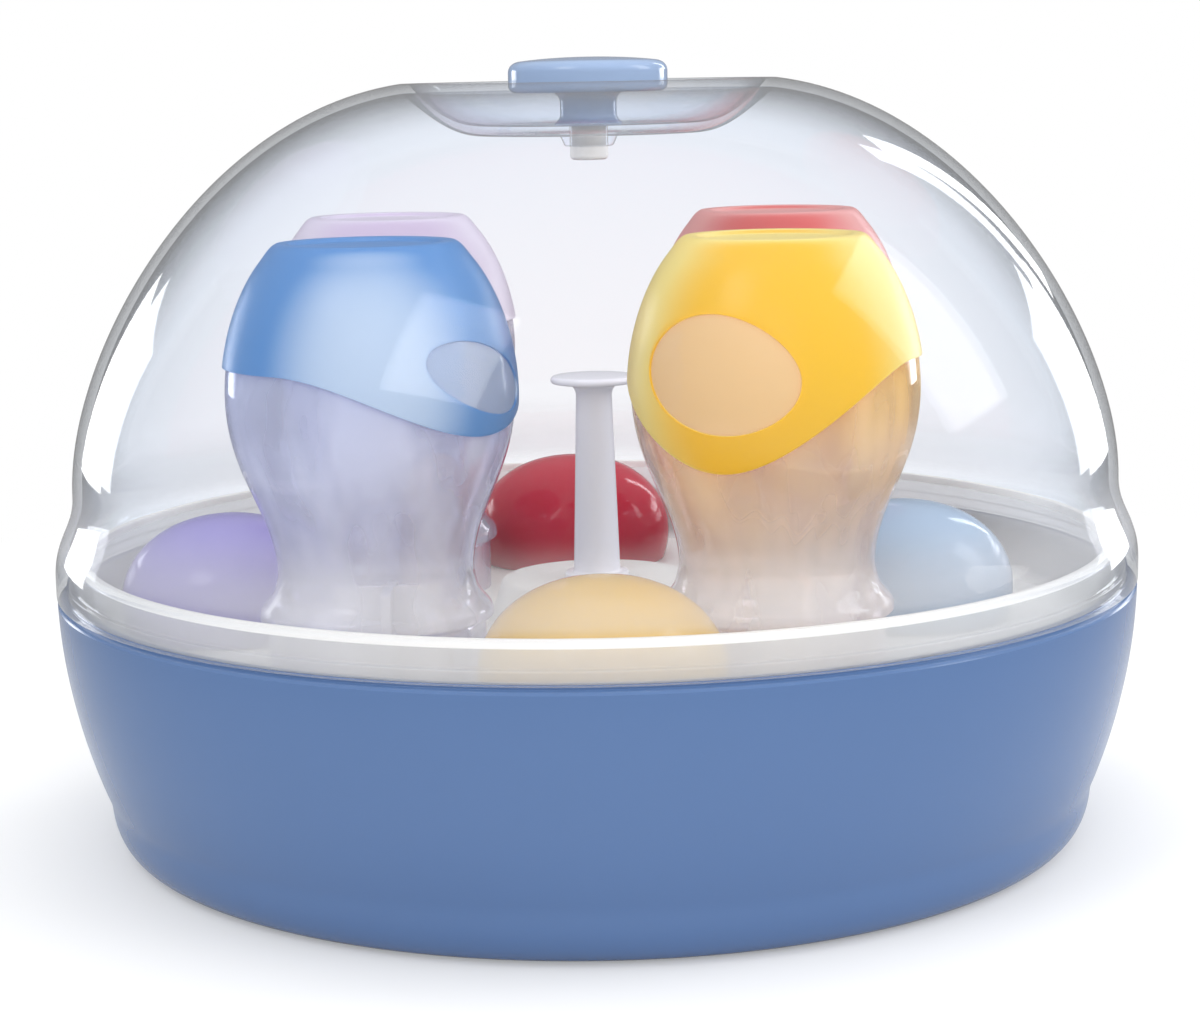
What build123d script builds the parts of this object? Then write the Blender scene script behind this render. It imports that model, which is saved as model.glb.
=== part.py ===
from build123d import *
from math import cos, sin, radians
import os

# A round microwave bottle steriliser, in millimetres. The origin is at the centre of the
# underside, +Z is up and -Y is the front. The bowl holds water, the rack stands in the bowl's
# mouth with the bottles and their caps on it, and the clear lid rests on the rack's flange.

# Sizes that the others follow
SKIRT_R = 134.9           # outside of the lid's skirt, the widest of all
RIM_Z = 65.0              # ledge in the bowl's mouth that carries the rack
BOTTLE_H = 101.2
BELLY_R = 33.1            # a bottle's widest
CAP_R = 27.8
RUNNING = 0.4             # radial gap between pieces that lift apart
FIT = 0.05                # radial gap of the knob's spigot in the plug, and of the plug in the funnel

# Rack: radii inwards from the lid's skirt, heights from the rim
SKIRT_WALL = 2.6
FLANGE_R = SKIRT_R - SKIRT_WALL - RUNNING
FLANGE_T = 3.0
FLANGE_TOP_Z = RIM_Z + FLANGE_T
FLANGE_FLAT = 1.5         # level top of the flange, outside the sloping wall
FLANGE_REACH = 3.1        # from the crest's outer side to the flange's edge
TUB_WALL = 2.2
TUB_R = FLANGE_R - FLANGE_REACH - TUB_WALL
TUB_TAPER = 1.2           # narrower at the floor
TUB_BEND = 2.0            # bevel between wall and floor
CREST_RISE, CREST_ROUND = 9.0, 0.9
CREST_Z = RIM_Z + CREST_RISE
FLOOR_DROP = 14.0
FLOOR_Z = RIM_Z - FLOOR_DROP      # upper face of the rack's floor
FLOOR_T = 2.0
PLATFORM_R, PLATFORM_FOOT_R, PLATFORM_RISE = 24.0, 28.0, 12.0
PLATFORM_Z = FLOOR_Z + PLATFORM_RISE
SOCKET_R = 4.2            # hole for the post's spigot

# Pegs, each the same way in from the wall, and steam holes beside them and along the wall
PEG_R, PEG_HEIGHT, PEG_RIB, PEG_LEAD = 13.2, 20.0, 2.4, 2.0
BOTTLE_ROOM = 20.85       # from the wall to a bottle set centrally on its peg
PEG_PITCH_R = TUB_R - BELLY_R - BOTTLE_ROOM
PEG_TURN = 48.0           # direction of each peg, in degrees from the nearer end of the X axis
STEAM_HOLE_R = 1.4
PEG_HOLE_PITCH_R, PEG_HOLE_TURNS = 10.5, (30, 60)
CAP_ROOM = 5.8
CAP_PITCH_R = TUB_R - CAP_R - CAP_ROOM
WALL_HOLE_ROOM, WALL_HOLE_TURNS = 14.6, (24, 30, 60, 66)
WALL_HOLE_PITCH_R = TUB_R - WALL_HOLE_ROOM
SLOT_PITCH_R, SLOT_LENGTH, SLOTS = 38.0, 16.0, 4
QUARTERS = 4              # the floor's holes repeat in each quarter

# Bowl: radii inwards from the skirt
RIM_T, RIM_STEP = 3.5, 1.0
SHOULDER_Z = RIM_Z - RIM_STEP     # the widest step, just under the lid
SHOULDER_ROUND = 0.6
BOWL_WALL, BOWL_FLOOR = 3.0, 4.2
SIDE_EXTRA = 0.6          # how much thicker the wall is above its foot
FOOT_SET_IN, FOOT_BEND_R, FOOT_BEND_Z = 11.1, 10.8, 11.0
FOOT_SIDE_R = SKIRT_R - FOOT_SET_IN
FOOT_FLAT_R = FOOT_SIDE_R - FOOT_BEND_R       # where the underside starts to round up
WAISTLINE = 4.0           # height of the soft groove over the foot
WALL_LOW_R, WALL_LOW_Z = FOOT_SIDE_R + 0.8, FOOT_BEND_Z + WAISTLINE
WALL_TOP_R = SKIRT_R - 0.2
WALL_MID_R, WALL_MID_Z = WALL_TOP_R - 2.4, SHOULDER_Z - 25.0
RING_WIDTH, RECESS = 17.0, 1.2    # flat ring that the bowl stands on

# Post: height over the raised middle
POST_FOOT_R, POST_NECK_R, POST_H = 5.9, 4.5, 51.6
POST_DISC_R, POST_DISC_T, POST_FLARE = 10.9, 2.2, 3.0
COLLAR_R, COLLAR_T, COLLAR_BEVEL = 8.2, 1.4, 0.6
SPIGOT_DROP, SPIGOT_POINT, SOCKET_GAP = 6.0, 2.0, 0.1

# Lid: heights from the bowl's shoulder up to the waist, then from the bottles to the top
LID_WALL = 2.4
SEAM = 1.1                # open line between the bowl's shoulder and the lid's edge
LID_EDGE_Z = SHOULDER_Z + SEAM
SKIRT_H, FLARE_H, FLARE = 4.9, 20.0, 5.0
SKIRT_BEVEL = 0.5
SKIRT_TOP_Z = LID_EDGE_Z + SKIRT_H
WAIST_R, WAIST_Z = SKIRT_R - FLARE, SKIRT_TOP_Z + FLARE_H
LEDGE_R = FLANGE_R - 0.9
LEDGE_H, LEDGE_BEVEL_R, LEDGE_BEVEL_Z = 5.0, 0.7, 1.2
HEADROOM = 35.2           # from the bottles' bases to the top
LID_TOP_Z = FLOOR_Z + BOTTLE_H + HEADROOM
LID_FLAT_R = 46.5         # edge of the flat ring round the finger well
# Joints of the dome's arcs, as shares of the way out from the flat to the waist and of the way up
DOME = [(0.928, 0.2885), (0.7265, 0.6006), (0.409, 0.8614)]

# Finger well, with a funnel under its middle for the knob's plug
WELL_R, WELL_DEPTH, WELL_FLOOR_R = 43.5, 10.6, 27.0
WELL_LIP_R, WELL_LIP_Z = 1.4, 0.9
WELL_FLOOR_Z = LID_TOP_Z - WELL_DEPTH
WELL_UNDER_R = WELL_R + 2.6       # where the dome's inner face bends down round the well
FUNNEL_TOP_R, FUNNEL_R, FUNNEL_DROP = 7.4, 6.0, 5.4
FUNNEL_Z = WELL_FLOOR_Z - FUNNEL_DROP
VENT_R, VENT_PITCH_R, VENTS = 1.4, 23.6, 3

# Knob and its plug
KNOB_R, KNOB_RISE, KNOB_CROWN = 19.7, 5.8, 0.9
KNOB_TOP_Z = LID_TOP_Z + KNOB_RISE
KNOB_UNDER_Z = LID_TOP_Z - 2.8
KNOB_LOWER_ROUND, KNOB_UPPER_ROUND_R, KNOB_UPPER_ROUND_Z = 1.8, 3.0, 2.8
KNOB_STEM_R, KNOB_STEM_BEND = 7.0, 1.6
SPIGOT_R, SPIGOT_LENGTH = 3.1, 6.4
SPIGOT_END_Z = WELL_FLOOR_Z - SPIGOT_LENGTH
PLUG_R, PLUG_END, PLUG_POINT = 4.7, 2.4, 1.0
PLUG_END_Z = SPIGOT_END_Z - PLUG_END

# Bottles, upside down on their pegs: heights over the rack's floor
BOTTLE_WALL = 1.5
SKIN = 0.9                # the coloured skin over the bottle's base half
MOUTH_R, BORE_R = 25.4, 21.3
BEAD_R, BEAD_Z, BEAD_T, BEAD_BEVEL = 27.4, 16.5, 2.4, 0.6
NECK_R, NECK_Z = 22.8, 24.5
BELLY_Z = 72.0
THROAT = 0.2              # share of the way from neck to belly that curves outwards
HIP_R, HIP_Z = 23.6, 97.0
BASE_FLAT_R, BASE_DISH_R, BASE_DISH = 19.6, 17.0, 1.0
SKIN_EDGE_Z = 73.5        # level edge of the skin round the bottle's back

# Caps, open side down on the rack's floor
CAP_FOOT_R, CAP_WALL, CAP_H, CAP_WIDEST_Z = 26.4, 1.6, 29.6, 8.0
CAP_SIDE_ROUND = 19.0     # radius of the side, which meets the flatter crown

# How each bottle stands on its peg, set down by hand: shares of its play to the right and back.
# How each cap lies: the direction of its place, then its shift to the right and back
PEG_PLAY = BORE_R - PEG_R - 0.7
BOTTLES = {"blue": (-1, -1, -0.39, -0.13), "yellow": (1, -1, -0.89, -0.13),
           "pink": (-1, 1, -0.8, -0.22), "red": (1, 1, 0.19, -0.13)}
CAPS = {"purple": (180, 0.0, 0.0), "yellow": (270, 1.0, -1.0), "blue": (0, -15.0, 2.0),
        "red": (90, -7.0, 0.5)}

# Each skin: the way its window faces, in degrees from +X, how far its edge dips under the window,
# the window's half width and half height, its tilt and its height over the rack's floor
FULL_LOBE = dict(lobe=23.6, window=(18.8, 13.2), tilt=-8.0, eye_z=72.2)
SKINS = {
    "blue": dict(turn=-35.0, lobe=15.0, window=(17.0, 7.5), tilt=-18.0, eye_z=71.5),
    "yellow": dict(turn=-117.0, **FULL_LOBE),
    "pink": dict(turn=120.0, **FULL_LOBE),
    "red": dict(turn=60.0, **FULL_LOBE),
}


def section(x=0.0, y=0.0):
    """Upright plane through a piece's own axis: its first direction is the radius, its second +Z."""
    return Plane(origin=(x, y, 0), x_dir=(1, 0, 0), z_dir=(0, -1, 0))


def upright(x=0.0, y=0.0):
    return Axis((x, y, 0), (0, 0, 1))


def radial(x, y, turn):
    """Upright plane through a piece's axis that faces the direction turn, in degrees from +X."""
    a = radians(turn)
    return Plane(origin=(x, y, 0), x_dir=(-sin(a), cos(a), 0), z_dir=(cos(a), sin(a), 0))


def peg(side_x, side_y):
    """Centre of the peg on one side of the X and of the Y axis."""
    a = radians(PEG_TURN)
    return side_x * PEG_PITCH_R * cos(a), side_y * PEG_PITCH_R * sin(a)


def finish(part, name):
    part.label = name
    export_step(part, f"parts/{name}.step")


os.makedirs("parts", exist_ok=True)


# Bowl: a glossy moulding with a standing ring, a soft waist over the foot and a stepped rim
with BuildPart() as base_bowl:
    with BuildSketch(section()):
        with BuildLine():
            throat_r = TUB_R + TUB_WALL + RUNNING
            ledge_r = FLANGE_R + RUNNING / 4
            ring_r = FOOT_FLAT_R - RING_WIDTH
            hollow = BOWL_WALL + SIDE_EXTRA
            Polyline((0, RECESS), (ring_r, RECESS), (ring_r + RECESS, 0), (FOOT_FLAT_R, 0))
            foot = TangentArc((FOOT_FLAT_R, 0), (FOOT_SIDE_R, FOOT_BEND_Z), tangent=(1, 0))
            Spline(foot @ 1, (WALL_LOW_R, WALL_LOW_Z), tangents=(foot % 1, (0.42, 1)))
            wall = ThreePointArc((WALL_LOW_R, WALL_LOW_Z), (WALL_MID_R, WALL_MID_Z),
                                 (WALL_TOP_R, SHOULDER_Z - SHOULDER_ROUND))
            lip = Polyline(wall @ 1, (WALL_TOP_R - SHOULDER_ROUND, SHOULDER_Z), (ledge_r, SHOULDER_Z),
                           (ledge_r, RIM_Z), (throat_r, RIM_Z), (throat_r, RIM_Z - RIM_T),
                           (WALL_TOP_R - hollow, RIM_Z - 2.3 * RIM_T))
            side = ThreePointArc(lip @ 1, (WALL_MID_R - hollow, WALL_MID_Z - WAISTLINE),
                                 (WALL_LOW_R - BOWL_WALL, WALL_LOW_Z + 1))
            heel = TangentArc(side @ 1, (FOOT_FLAT_R - BOWL_WALL, BOWL_FLOOR), tangent=(-0.3, -1))
            Polyline(heel @ 1, (0, BOWL_FLOOR), (0, RECESS))
        make_face()
    revolve(axis=Axis.Z)
finish(base_bowl.part, "base_bowl")


# Rack: a tub with a sloping outer wall and a flange, a raised middle, a cross-ribbed peg for
# each bottle and steam holes through the floor
with BuildPart() as rack_tray:
    with BuildSketch(section()):
        with BuildLine():
            under = FLOOR_Z - FLOOR_T
            low_r = TUB_R - TUB_TAPER
            outer_r = TUB_R + TUB_WALL
            crest_edge_z = CREST_Z - CREST_ROUND
            Polyline((0, PLATFORM_Z - FLOOR_T), (PLATFORM_R - FLOOR_T, PLATFORM_Z - FLOOR_T),
                     (PLATFORM_FOOT_R - FLOOR_T, under), (low_r, under), (low_r + TUB_BEND, FLOOR_Z),
                     (outer_r - RUNNING, RIM_Z), (FLANGE_R, RIM_Z), (FLANGE_R, FLANGE_TOP_Z),
                     (FLANGE_R - FLANGE_FLAT, FLANGE_TOP_Z), (outer_r, crest_edge_z))
            crest = ThreePointArc((outer_r, crest_edge_z), (TUB_R + TUB_WALL / 2, CREST_Z),
                                  (TUB_R, crest_edge_z))
            Polyline(crest @ 1, (low_r, FLOOR_Z + TUB_BEND), (low_r - TUB_BEND, FLOOR_Z),
                     (PLATFORM_FOOT_R, FLOOR_Z), (PLATFORM_R, PLATFORM_Z), (0, PLATFORM_Z),
                     (0, PLATFORM_Z - FLOOR_T))
        make_face()
    revolve(axis=Axis.Z)
    pegs = [peg(side_x, side_y) for side_x in (-1, 1) for side_y in (-1, 1)]
    with BuildSketch(Plane.XY.offset(FLOOR_Z)):
        with Locations(*pegs):
            Rectangle(2 * PEG_R, PEG_RIB)
            Rectangle(PEG_RIB, 2 * PEG_R)
    extrude(amount=PEG_HEIGHT)
    rib_ends = rack_tray.edges().filter_by_position(Axis.Z, FLOOR_Z + PEG_HEIGHT - FIT,
                                                    FLOOR_Z + PEG_HEIGHT + FIT)
    chamfer(rib_ends.filter_by(lambda edge: edge.length < PEG_RIB + FIT), PEG_LEAD)
    with BuildSketch(Plane.XY.offset(FLOOR_Z - FLOOR_T)):
        with Locations(*pegs):
            for turn in PEG_HOLE_TURNS:
                with PolarLocations(PEG_HOLE_PITCH_R, QUARTERS, start_angle=turn):
                    Circle(STEAM_HOLE_R)
        for turn in WALL_HOLE_TURNS:
            with PolarLocations(WALL_HOLE_PITCH_R, QUARTERS, start_angle=turn):
                Circle(STEAM_HOLE_R)
        with PolarLocations(SLOT_PITCH_R, SLOTS):
            SlotOverall(SLOT_LENGTH, 2 * STEAM_HOLE_R)
    extrude(amount=FLOOR_T, mode=Mode.SUBTRACT)
    with BuildSketch(Plane.XY.offset(PLATFORM_Z - FLOOR_T)):
        Circle(SOCKET_R)
    extrude(amount=FLOOR_T, mode=Mode.SUBTRACT)
finish(rack_tray.part, "rack_tray")


# Post: a tapered pillar with a thumb disc, pushed through the socket in the raised middle
with BuildPart() as lift_post:
    with BuildSketch(section()):
        with BuildLine():
            spigot_r = SOCKET_R - SOCKET_GAP
            collar_z, top_z = PLATFORM_Z + COLLAR_T, PLATFORM_Z + POST_H
            disc_z = top_z - POST_DISC_T
            rim_r, rim_drop = POST_DISC_R - POST_DISC_T * 0.4, POST_DISC_T * 0.2
            Polyline((0, PLATFORM_Z - SPIGOT_DROP), (spigot_r - SPIGOT_POINT / 2, PLATFORM_Z - SPIGOT_DROP),
                     (spigot_r, PLATFORM_Z - SPIGOT_DROP + SPIGOT_POINT), (spigot_r, PLATFORM_Z),
                     (COLLAR_R, PLATFORM_Z), (COLLAR_R, collar_z - COLLAR_BEVEL),
                     (COLLAR_R - COLLAR_BEVEL, collar_z), (POST_FOOT_R, collar_z),
                     (POST_NECK_R, disc_z - POST_FLARE))
            flare = TangentArc((POST_NECK_R, disc_z - POST_FLARE), (POST_NECK_R + POST_FLARE, disc_z),
                               tangent=(0, 1))
            Line(flare @ 1, (rim_r, disc_z))
            rim = ThreePointArc((rim_r, disc_z), (POST_DISC_R, disc_z + POST_DISC_T * 0.4),
                                (rim_r, top_z - rim_drop))
            TangentArc((0, top_z), rim @ 1, tangent=(1, 0))
            Line((0, top_z), (0, PLATFORM_Z - SPIGOT_DROP))
        make_face()
    revolve(axis=Axis.Z)
finish(lift_post.part, "lift_post")


def dome_joint(share_out, share_up):
    return (LID_FLAT_R + share_out * (WAIST_R - LID_FLAT_R), WAIST_Z + share_up * (LID_TOP_Z - WAIST_Z))


def under_end(edge):
    """Point inside the end of an edge that runs up the dome, one wall away."""
    at, way = edge @ 1, edge % 1
    return at.X - LID_WALL * way.Y, at.Y + LID_WALL * way.X


# Lid: a clear dome of four arcs over a flared skirt, a ledge that sits on the rack's flange, a
# finger well sunk into the flat top and a funnel under it that grips the knob's plug
with BuildPart() as lid_dome:
    with BuildSketch(section()):
        with BuildLine():
            waist = (WAIST_R, WAIST_Z)
            side = TangentArc(waist, dome_joint(*DOME[0]), tangent=(0, 1))
            haunch = TangentArc(side @ 1, dome_joint(*DOME[1]), tangent=side % 1)
            crown = TangentArc(haunch @ 1, dome_joint(*DOME[2]), tangent=haunch % 1)
            brow = TangentArc(crown @ 1, (LID_FLAT_R, LID_TOP_Z), tangent=crown % 1)
            out = TangentArc(waist, (WAIST_R + FLARE / 2, WAIST_Z - FLARE_H / 2), tangent=(0, -1))
            down = TangentArc(out @ 1, (SKIRT_R, SKIRT_TOP_Z), tangent=out % 1)
            skirt_in = FLANGE_R + RUNNING
            ledge_z = FLANGE_TOP_Z + LEDGE_H
            inner_waist = (WAIST_R - LID_WALL, WAIST_Z)
            Polyline(down @ 1, (SKIRT_R, LID_EDGE_Z + SKIRT_BEVEL), (SKIRT_R - SKIRT_BEVEL, LID_EDGE_Z),
                     (skirt_in, LID_EDGE_Z), (skirt_in, FLANGE_TOP_Z), (LEDGE_R, FLANGE_TOP_Z),
                     (LEDGE_R, ledge_z), (LEDGE_R + LEDGE_BEVEL_R, ledge_z + LEDGE_BEVEL_Z), inner_waist)
            in_side = TangentArc(inner_waist, under_end(side), tangent=(0, 1))
            in_haunch = TangentArc(in_side @ 1, under_end(haunch), tangent=side % 1)
            in_crown = TangentArc(in_haunch @ 1, under_end(crown), tangent=haunch % 1)
            in_brow = TangentArc(in_crown @ 1, (WELL_UNDER_R, LID_TOP_Z - LID_WALL), tangent=crown % 1)
            well_under_z = WELL_FLOOR_Z - LID_WALL
            TangentArc((WELL_FLOOR_R, well_under_z), in_brow @ 1, tangent=(1, 0))
            hole_r = PLUG_R + FIT
            Polyline((WELL_FLOOR_R, well_under_z), (FUNNEL_TOP_R, well_under_z), (FUNNEL_R, FUNNEL_Z),
                     (hole_r, FUNNEL_Z), (hole_r, WELL_FLOOR_Z), (WELL_FLOOR_R, WELL_FLOOR_Z))
            well = TangentArc((WELL_FLOOR_R, WELL_FLOOR_Z), (WELL_R, LID_TOP_Z - WELL_LIP_Z),
                              tangent=(1, 0))
            Polyline(well @ 1, (WELL_R + WELL_LIP_R, LID_TOP_Z), brow @ 1)
        make_face()
    revolve(axis=Axis.Z)
    with BuildSketch(Plane.XY.offset(WELL_FLOOR_Z - LID_WALL)):
        with PolarLocations(VENT_PITCH_R, VENTS, start_angle=90):
            Circle(VENT_R)
    extrude(amount=LID_WALL, mode=Mode.SUBTRACT)
finish(lid_dome.part, "lid_dome")


# Knob: a crowned cap on a stem that stands in the finger well, with a spigot down the funnel
with BuildPart() as lid_knob:
    with BuildSketch(section()):
        with BuildLine():
            shoulder_z = KNOB_TOP_Z - KNOB_CROWN
            edge_r = KNOB_R - KNOB_LOWER_ROUND
            Polyline((0, SPIGOT_END_Z), (SPIGOT_R, SPIGOT_END_Z), (SPIGOT_R, WELL_FLOOR_Z),
                     (KNOB_STEM_R + KNOB_STEM_BEND, WELL_FLOOR_Z),
                     (KNOB_STEM_R, WELL_FLOOR_Z + KNOB_STEM_BEND),
                     (KNOB_STEM_R, KNOB_UNDER_Z - KNOB_STEM_BEND),
                     (KNOB_STEM_R + KNOB_STEM_BEND, KNOB_UNDER_Z), (edge_r, KNOB_UNDER_Z))
            lower = TangentArc((edge_r, KNOB_UNDER_Z), (KNOB_R, KNOB_UNDER_Z + KNOB_LOWER_ROUND),
                               tangent=(1, 0))
            side = Line(lower @ 1, (KNOB_R, shoulder_z - KNOB_UPPER_ROUND_Z))
            upper = TangentArc(side @ 1, (KNOB_R - KNOB_UPPER_ROUND_R, shoulder_z), tangent=(0, 1))
            TangentArc((0, KNOB_TOP_Z), upper @ 1, tangent=(1, 0))
            Line((0, KNOB_TOP_Z), (0, SPIGOT_END_Z))
        make_face()
    revolve(axis=Axis.Z)
finish(lid_knob.part, "lid_knob")


# Plug: a natural-coloured cup pushed up the funnel over the spigot, which locks the knob
with BuildPart() as knob_plug:
    with BuildSketch(section()):
        with BuildLine():
            bore = SPIGOT_R + FIT
            Polyline((0, PLUG_END_Z), (PLUG_R - PLUG_POINT, PLUG_END_Z), (PLUG_R, PLUG_END_Z + PLUG_POINT),
                     (PLUG_R, WELL_FLOOR_Z - FIT), (bore, WELL_FLOOR_Z - FIT),
                     (bore, SPIGOT_END_Z - FIT), (0, SPIGOT_END_Z - FIT), (0, PLUG_END_Z))
        make_face()
    revolve(axis=Axis.Z)
finish(knob_plug.part, "knob_plug")


def bottle_side(grow):
    """Line of a bottle's body from its neck up to the middle of its base, thicker by grow."""
    z, top = FLOOR_Z, FLOOR_Z + BOTTLE_H - SKIN + grow
    neck = (NECK_R + grow, z + NECK_Z)
    belly = (BELLY_R + grow, z + BELLY_Z)
    bend = (neck[0] + THROAT * (belly[0] - neck[0]), neck[1] + THROAT * (belly[1] - neck[1]))
    throat = TangentArc(neck, bend, tangent=(0, 1))
    side = TangentArc(throat @ 1, belly, tangent=throat % 1)
    hip = TangentArc(side @ 1, (HIP_R + grow, z + HIP_Z), tangent=(0, 1))
    rim = TangentArc(hip @ 1, (BASE_FLAT_R + grow, top), tangent=hip % 1)
    Polyline(rim @ 1, (BASE_DISH_R + BASE_DISH, top), (BASE_DISH_R, top - BASE_DISH), (0, top - BASE_DISH))
    return throat @ 0


def bottle(name, x, y):
    """A clear thin-walled bottle with a beaded neck and a dished base."""
    z, middle = FLOOR_Z, FLOOR_Z + BOTTLE_H - SKIN - BASE_DISH
    with BuildPart() as body:
        with BuildSketch(section(x, y)):
            with BuildLine():
                outer_neck = bottle_side(0)
                inner_neck = bottle_side(-BOTTLE_WALL)
                Line((0, middle), (0, middle - BOTTLE_WALL))
                bead_z = z + BEAD_Z
                low_z = bead_z - BEAD_T
                Polyline(outer_neck, (BEAD_R - BEAD_BEVEL, bead_z + BEAD_BEVEL), (BEAD_R, bead_z),
                         (BEAD_R, low_z), (MOUTH_R, low_z - BEAD_BEVEL), (MOUTH_R, z), (BORE_R, z),
                         inner_neck)
            make_face()
        revolve(axis=upright(x, y))
    finish(body.part, f"bottle_{name}")


def bottle_skin(name, x, y, turn, lobe, window, tilt, eye_z):
    """The coloured skin over a bottle's base half. Its edge is level round the back and dips by
    lobe in front, where it holds an oval window."""
    reach, side_r = 2 * BELLY_R, BELLY_R + SKIN
    edge_z, over_z = FLOOR_Z + SKIN_EDGE_Z, FLOOR_Z + BOTTLE_H + SKIN
    middle = FLOOR_Z + BOTTLE_H - SKIN - BASE_DISH
    with BuildPart() as keep:
        with BuildSketch(radial(x, y, turn)):
            with BuildLine():
                Bezier((-side_r, edge_z), (0, edge_z - 2 * lobe), (side_r, edge_z))
                Polyline((side_r, edge_z), (side_r, over_z), (-side_r, over_z), (-side_r, edge_z))
            make_face()
            with Locations(Location((0, FLOOR_Z + eye_z), tilt)):
                Ellipse(*window, mode=Mode.SUBTRACT)
        extrude(amount=reach)
        with BuildSketch(radial(x, y, turn)):
            with Locations((0, edge_z)):
                Rectangle(2 * side_r, over_z - edge_z, align=(Align.CENTER, Align.MIN))
        extrude(amount=-reach)
    with BuildPart() as skin:
        with BuildSketch(section(x, y)):
            with BuildLine():
                Line(bottle_side(0), bottle_side(SKIN))
                Line((0, middle), (0, middle + SKIN))
            make_face()
        revolve(axis=upright(x, y))
        add(keep.part, mode=Mode.INTERSECT)
    finish(skin.part, f"skin_{name}")


def cap_dome(r, top):
    """A cap's face from its widest up to its crown, as two arcs that meet without an edge. Returns
    the foot of the side."""
    widest, round_r = FLOOR_Z + CAP_WIDEST_Z, CAP_SIDE_ROUND - CAP_R + r
    in_r, rise = r - round_r, top - widest
    crown_r = (in_r ** 2 + rise ** 2 - round_r ** 2) / (2 * (rise - round_r))
    far = round_r / (crown_r - round_r)
    meet = (in_r * (1 + far), widest + (widest - (top - crown_r)) * far)
    side = TangentArc((r, widest), meet, tangent=(0, 1))
    TangentArc((0, top), meet, tangent=(1, 0))
    return side @ 0


def cap(name, x, y):
    """A domed cap, open side down, that tucks in a little at its foot."""
    with BuildPart() as dome:
        with BuildSketch(section(x, y)):
            with BuildLine():
                z, top = FLOOR_Z, FLOOR_Z + CAP_H
                TangentArc(cap_dome(CAP_R, top), (CAP_FOOT_R, z), tangent=(0, -1))
                Line((CAP_FOOT_R, z), (CAP_FOOT_R - CAP_WALL, z))
                TangentArc(cap_dome(CAP_R - CAP_WALL, top - CAP_WALL), (CAP_FOOT_R - CAP_WALL, z),
                           tangent=(0, -1))
                Line((0, top), (0, top - CAP_WALL))
            make_face()
        revolve(axis=upright(x, y))
    finish(dome.part, f"cap_{name}")


for name, (side_x, side_y, right, back) in BOTTLES.items():
    peg_x, peg_y = peg(side_x, side_y)
    stand = (peg_x + right * PEG_PLAY, peg_y + back * PEG_PLAY)
    bottle(name, *stand)
    bottle_skin(name, *stand, **SKINS[name])
for name, (turn, right, back) in CAPS.items():
    cap(name, CAP_PITCH_R * cos(radians(turn)) + right, CAP_PITCH_R * sin(radians(turn)) + back)
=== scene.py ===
"""A round microwave bottle steriliser: blue bowl, milky rack with four bottles and four caps, clear lid.

Lengths are in millimetres until a vertex is made, which is in metres. The origin is at the centre of
the underside, +Z is up and -Y is the front.
"""

from functools import cache
from math import atan2, cos, pi, radians, sin, sqrt, tau

import bmesh
import bpy
from bpy.props import FloatProperty, FloatVectorProperty, IntProperty, PointerProperty
from mathutils import Matrix, Vector
from mathutils.geometry import interpolate_bezier


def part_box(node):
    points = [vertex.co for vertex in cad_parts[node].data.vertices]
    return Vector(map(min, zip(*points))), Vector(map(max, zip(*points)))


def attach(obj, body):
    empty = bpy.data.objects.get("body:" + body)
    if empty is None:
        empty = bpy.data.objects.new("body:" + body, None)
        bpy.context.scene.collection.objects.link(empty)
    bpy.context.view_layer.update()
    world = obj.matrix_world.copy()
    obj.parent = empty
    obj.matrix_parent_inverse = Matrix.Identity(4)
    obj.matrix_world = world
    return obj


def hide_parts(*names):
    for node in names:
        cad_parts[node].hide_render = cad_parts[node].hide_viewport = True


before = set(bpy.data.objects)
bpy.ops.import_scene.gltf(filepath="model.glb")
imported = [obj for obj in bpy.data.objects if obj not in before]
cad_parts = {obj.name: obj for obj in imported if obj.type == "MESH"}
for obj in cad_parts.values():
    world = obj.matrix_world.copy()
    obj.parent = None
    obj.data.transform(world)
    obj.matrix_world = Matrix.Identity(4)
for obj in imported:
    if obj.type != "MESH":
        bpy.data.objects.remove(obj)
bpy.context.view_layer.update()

bl_info = {
    "name": "Bottle steriliser",
    "version": (1, 0, 0),
    "blender": (4, 5, 0),
    "location": "View3D > Sidebar > Steriliser",
    "description": "Builds the visible pieces of a microwave bottle steriliser round its CAD frame",
    "category": "Object",
}

MM = 0.001

# Lid and bowl
SKIRT_R = 134.9
LID_TOP_Z = 187.4
LID_FLAT_R = 46.5
LID_EDGE_Z = 65.1
WAIST_R, WAIST_Z = 129.9, 90.0
SKIRT_TOP_Z = 70.0
WELL_R, WELL_FLOOR_R, WELL_FLOOR_Z = 43.5, 27.0, 176.8
LEDGE_R, LEDGE_TOP_Z = 131.0, 73.0
FUNNEL_TOP_R, FUNNEL_R, FUNNEL_Z = 7.4, 6.0, 171.4
VENT_R, VENT_PITCH_R, VENTS = 1.4, 23.6, 3
SHOULDER_Z, RIM_Z = 64.0, 65.0
FOOT_FLAT_R, FOOT_SIDE_R, FOOT_TOP_Z = 113.0, 123.8, 11.0
WALL_LOW_R, WALL_LOW_Z = 124.6, 15.0
UNDER_RECESS_R, UNDER_RECESS = 96.0, 1.2
BOWL_FLOOR = 4.2

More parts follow.
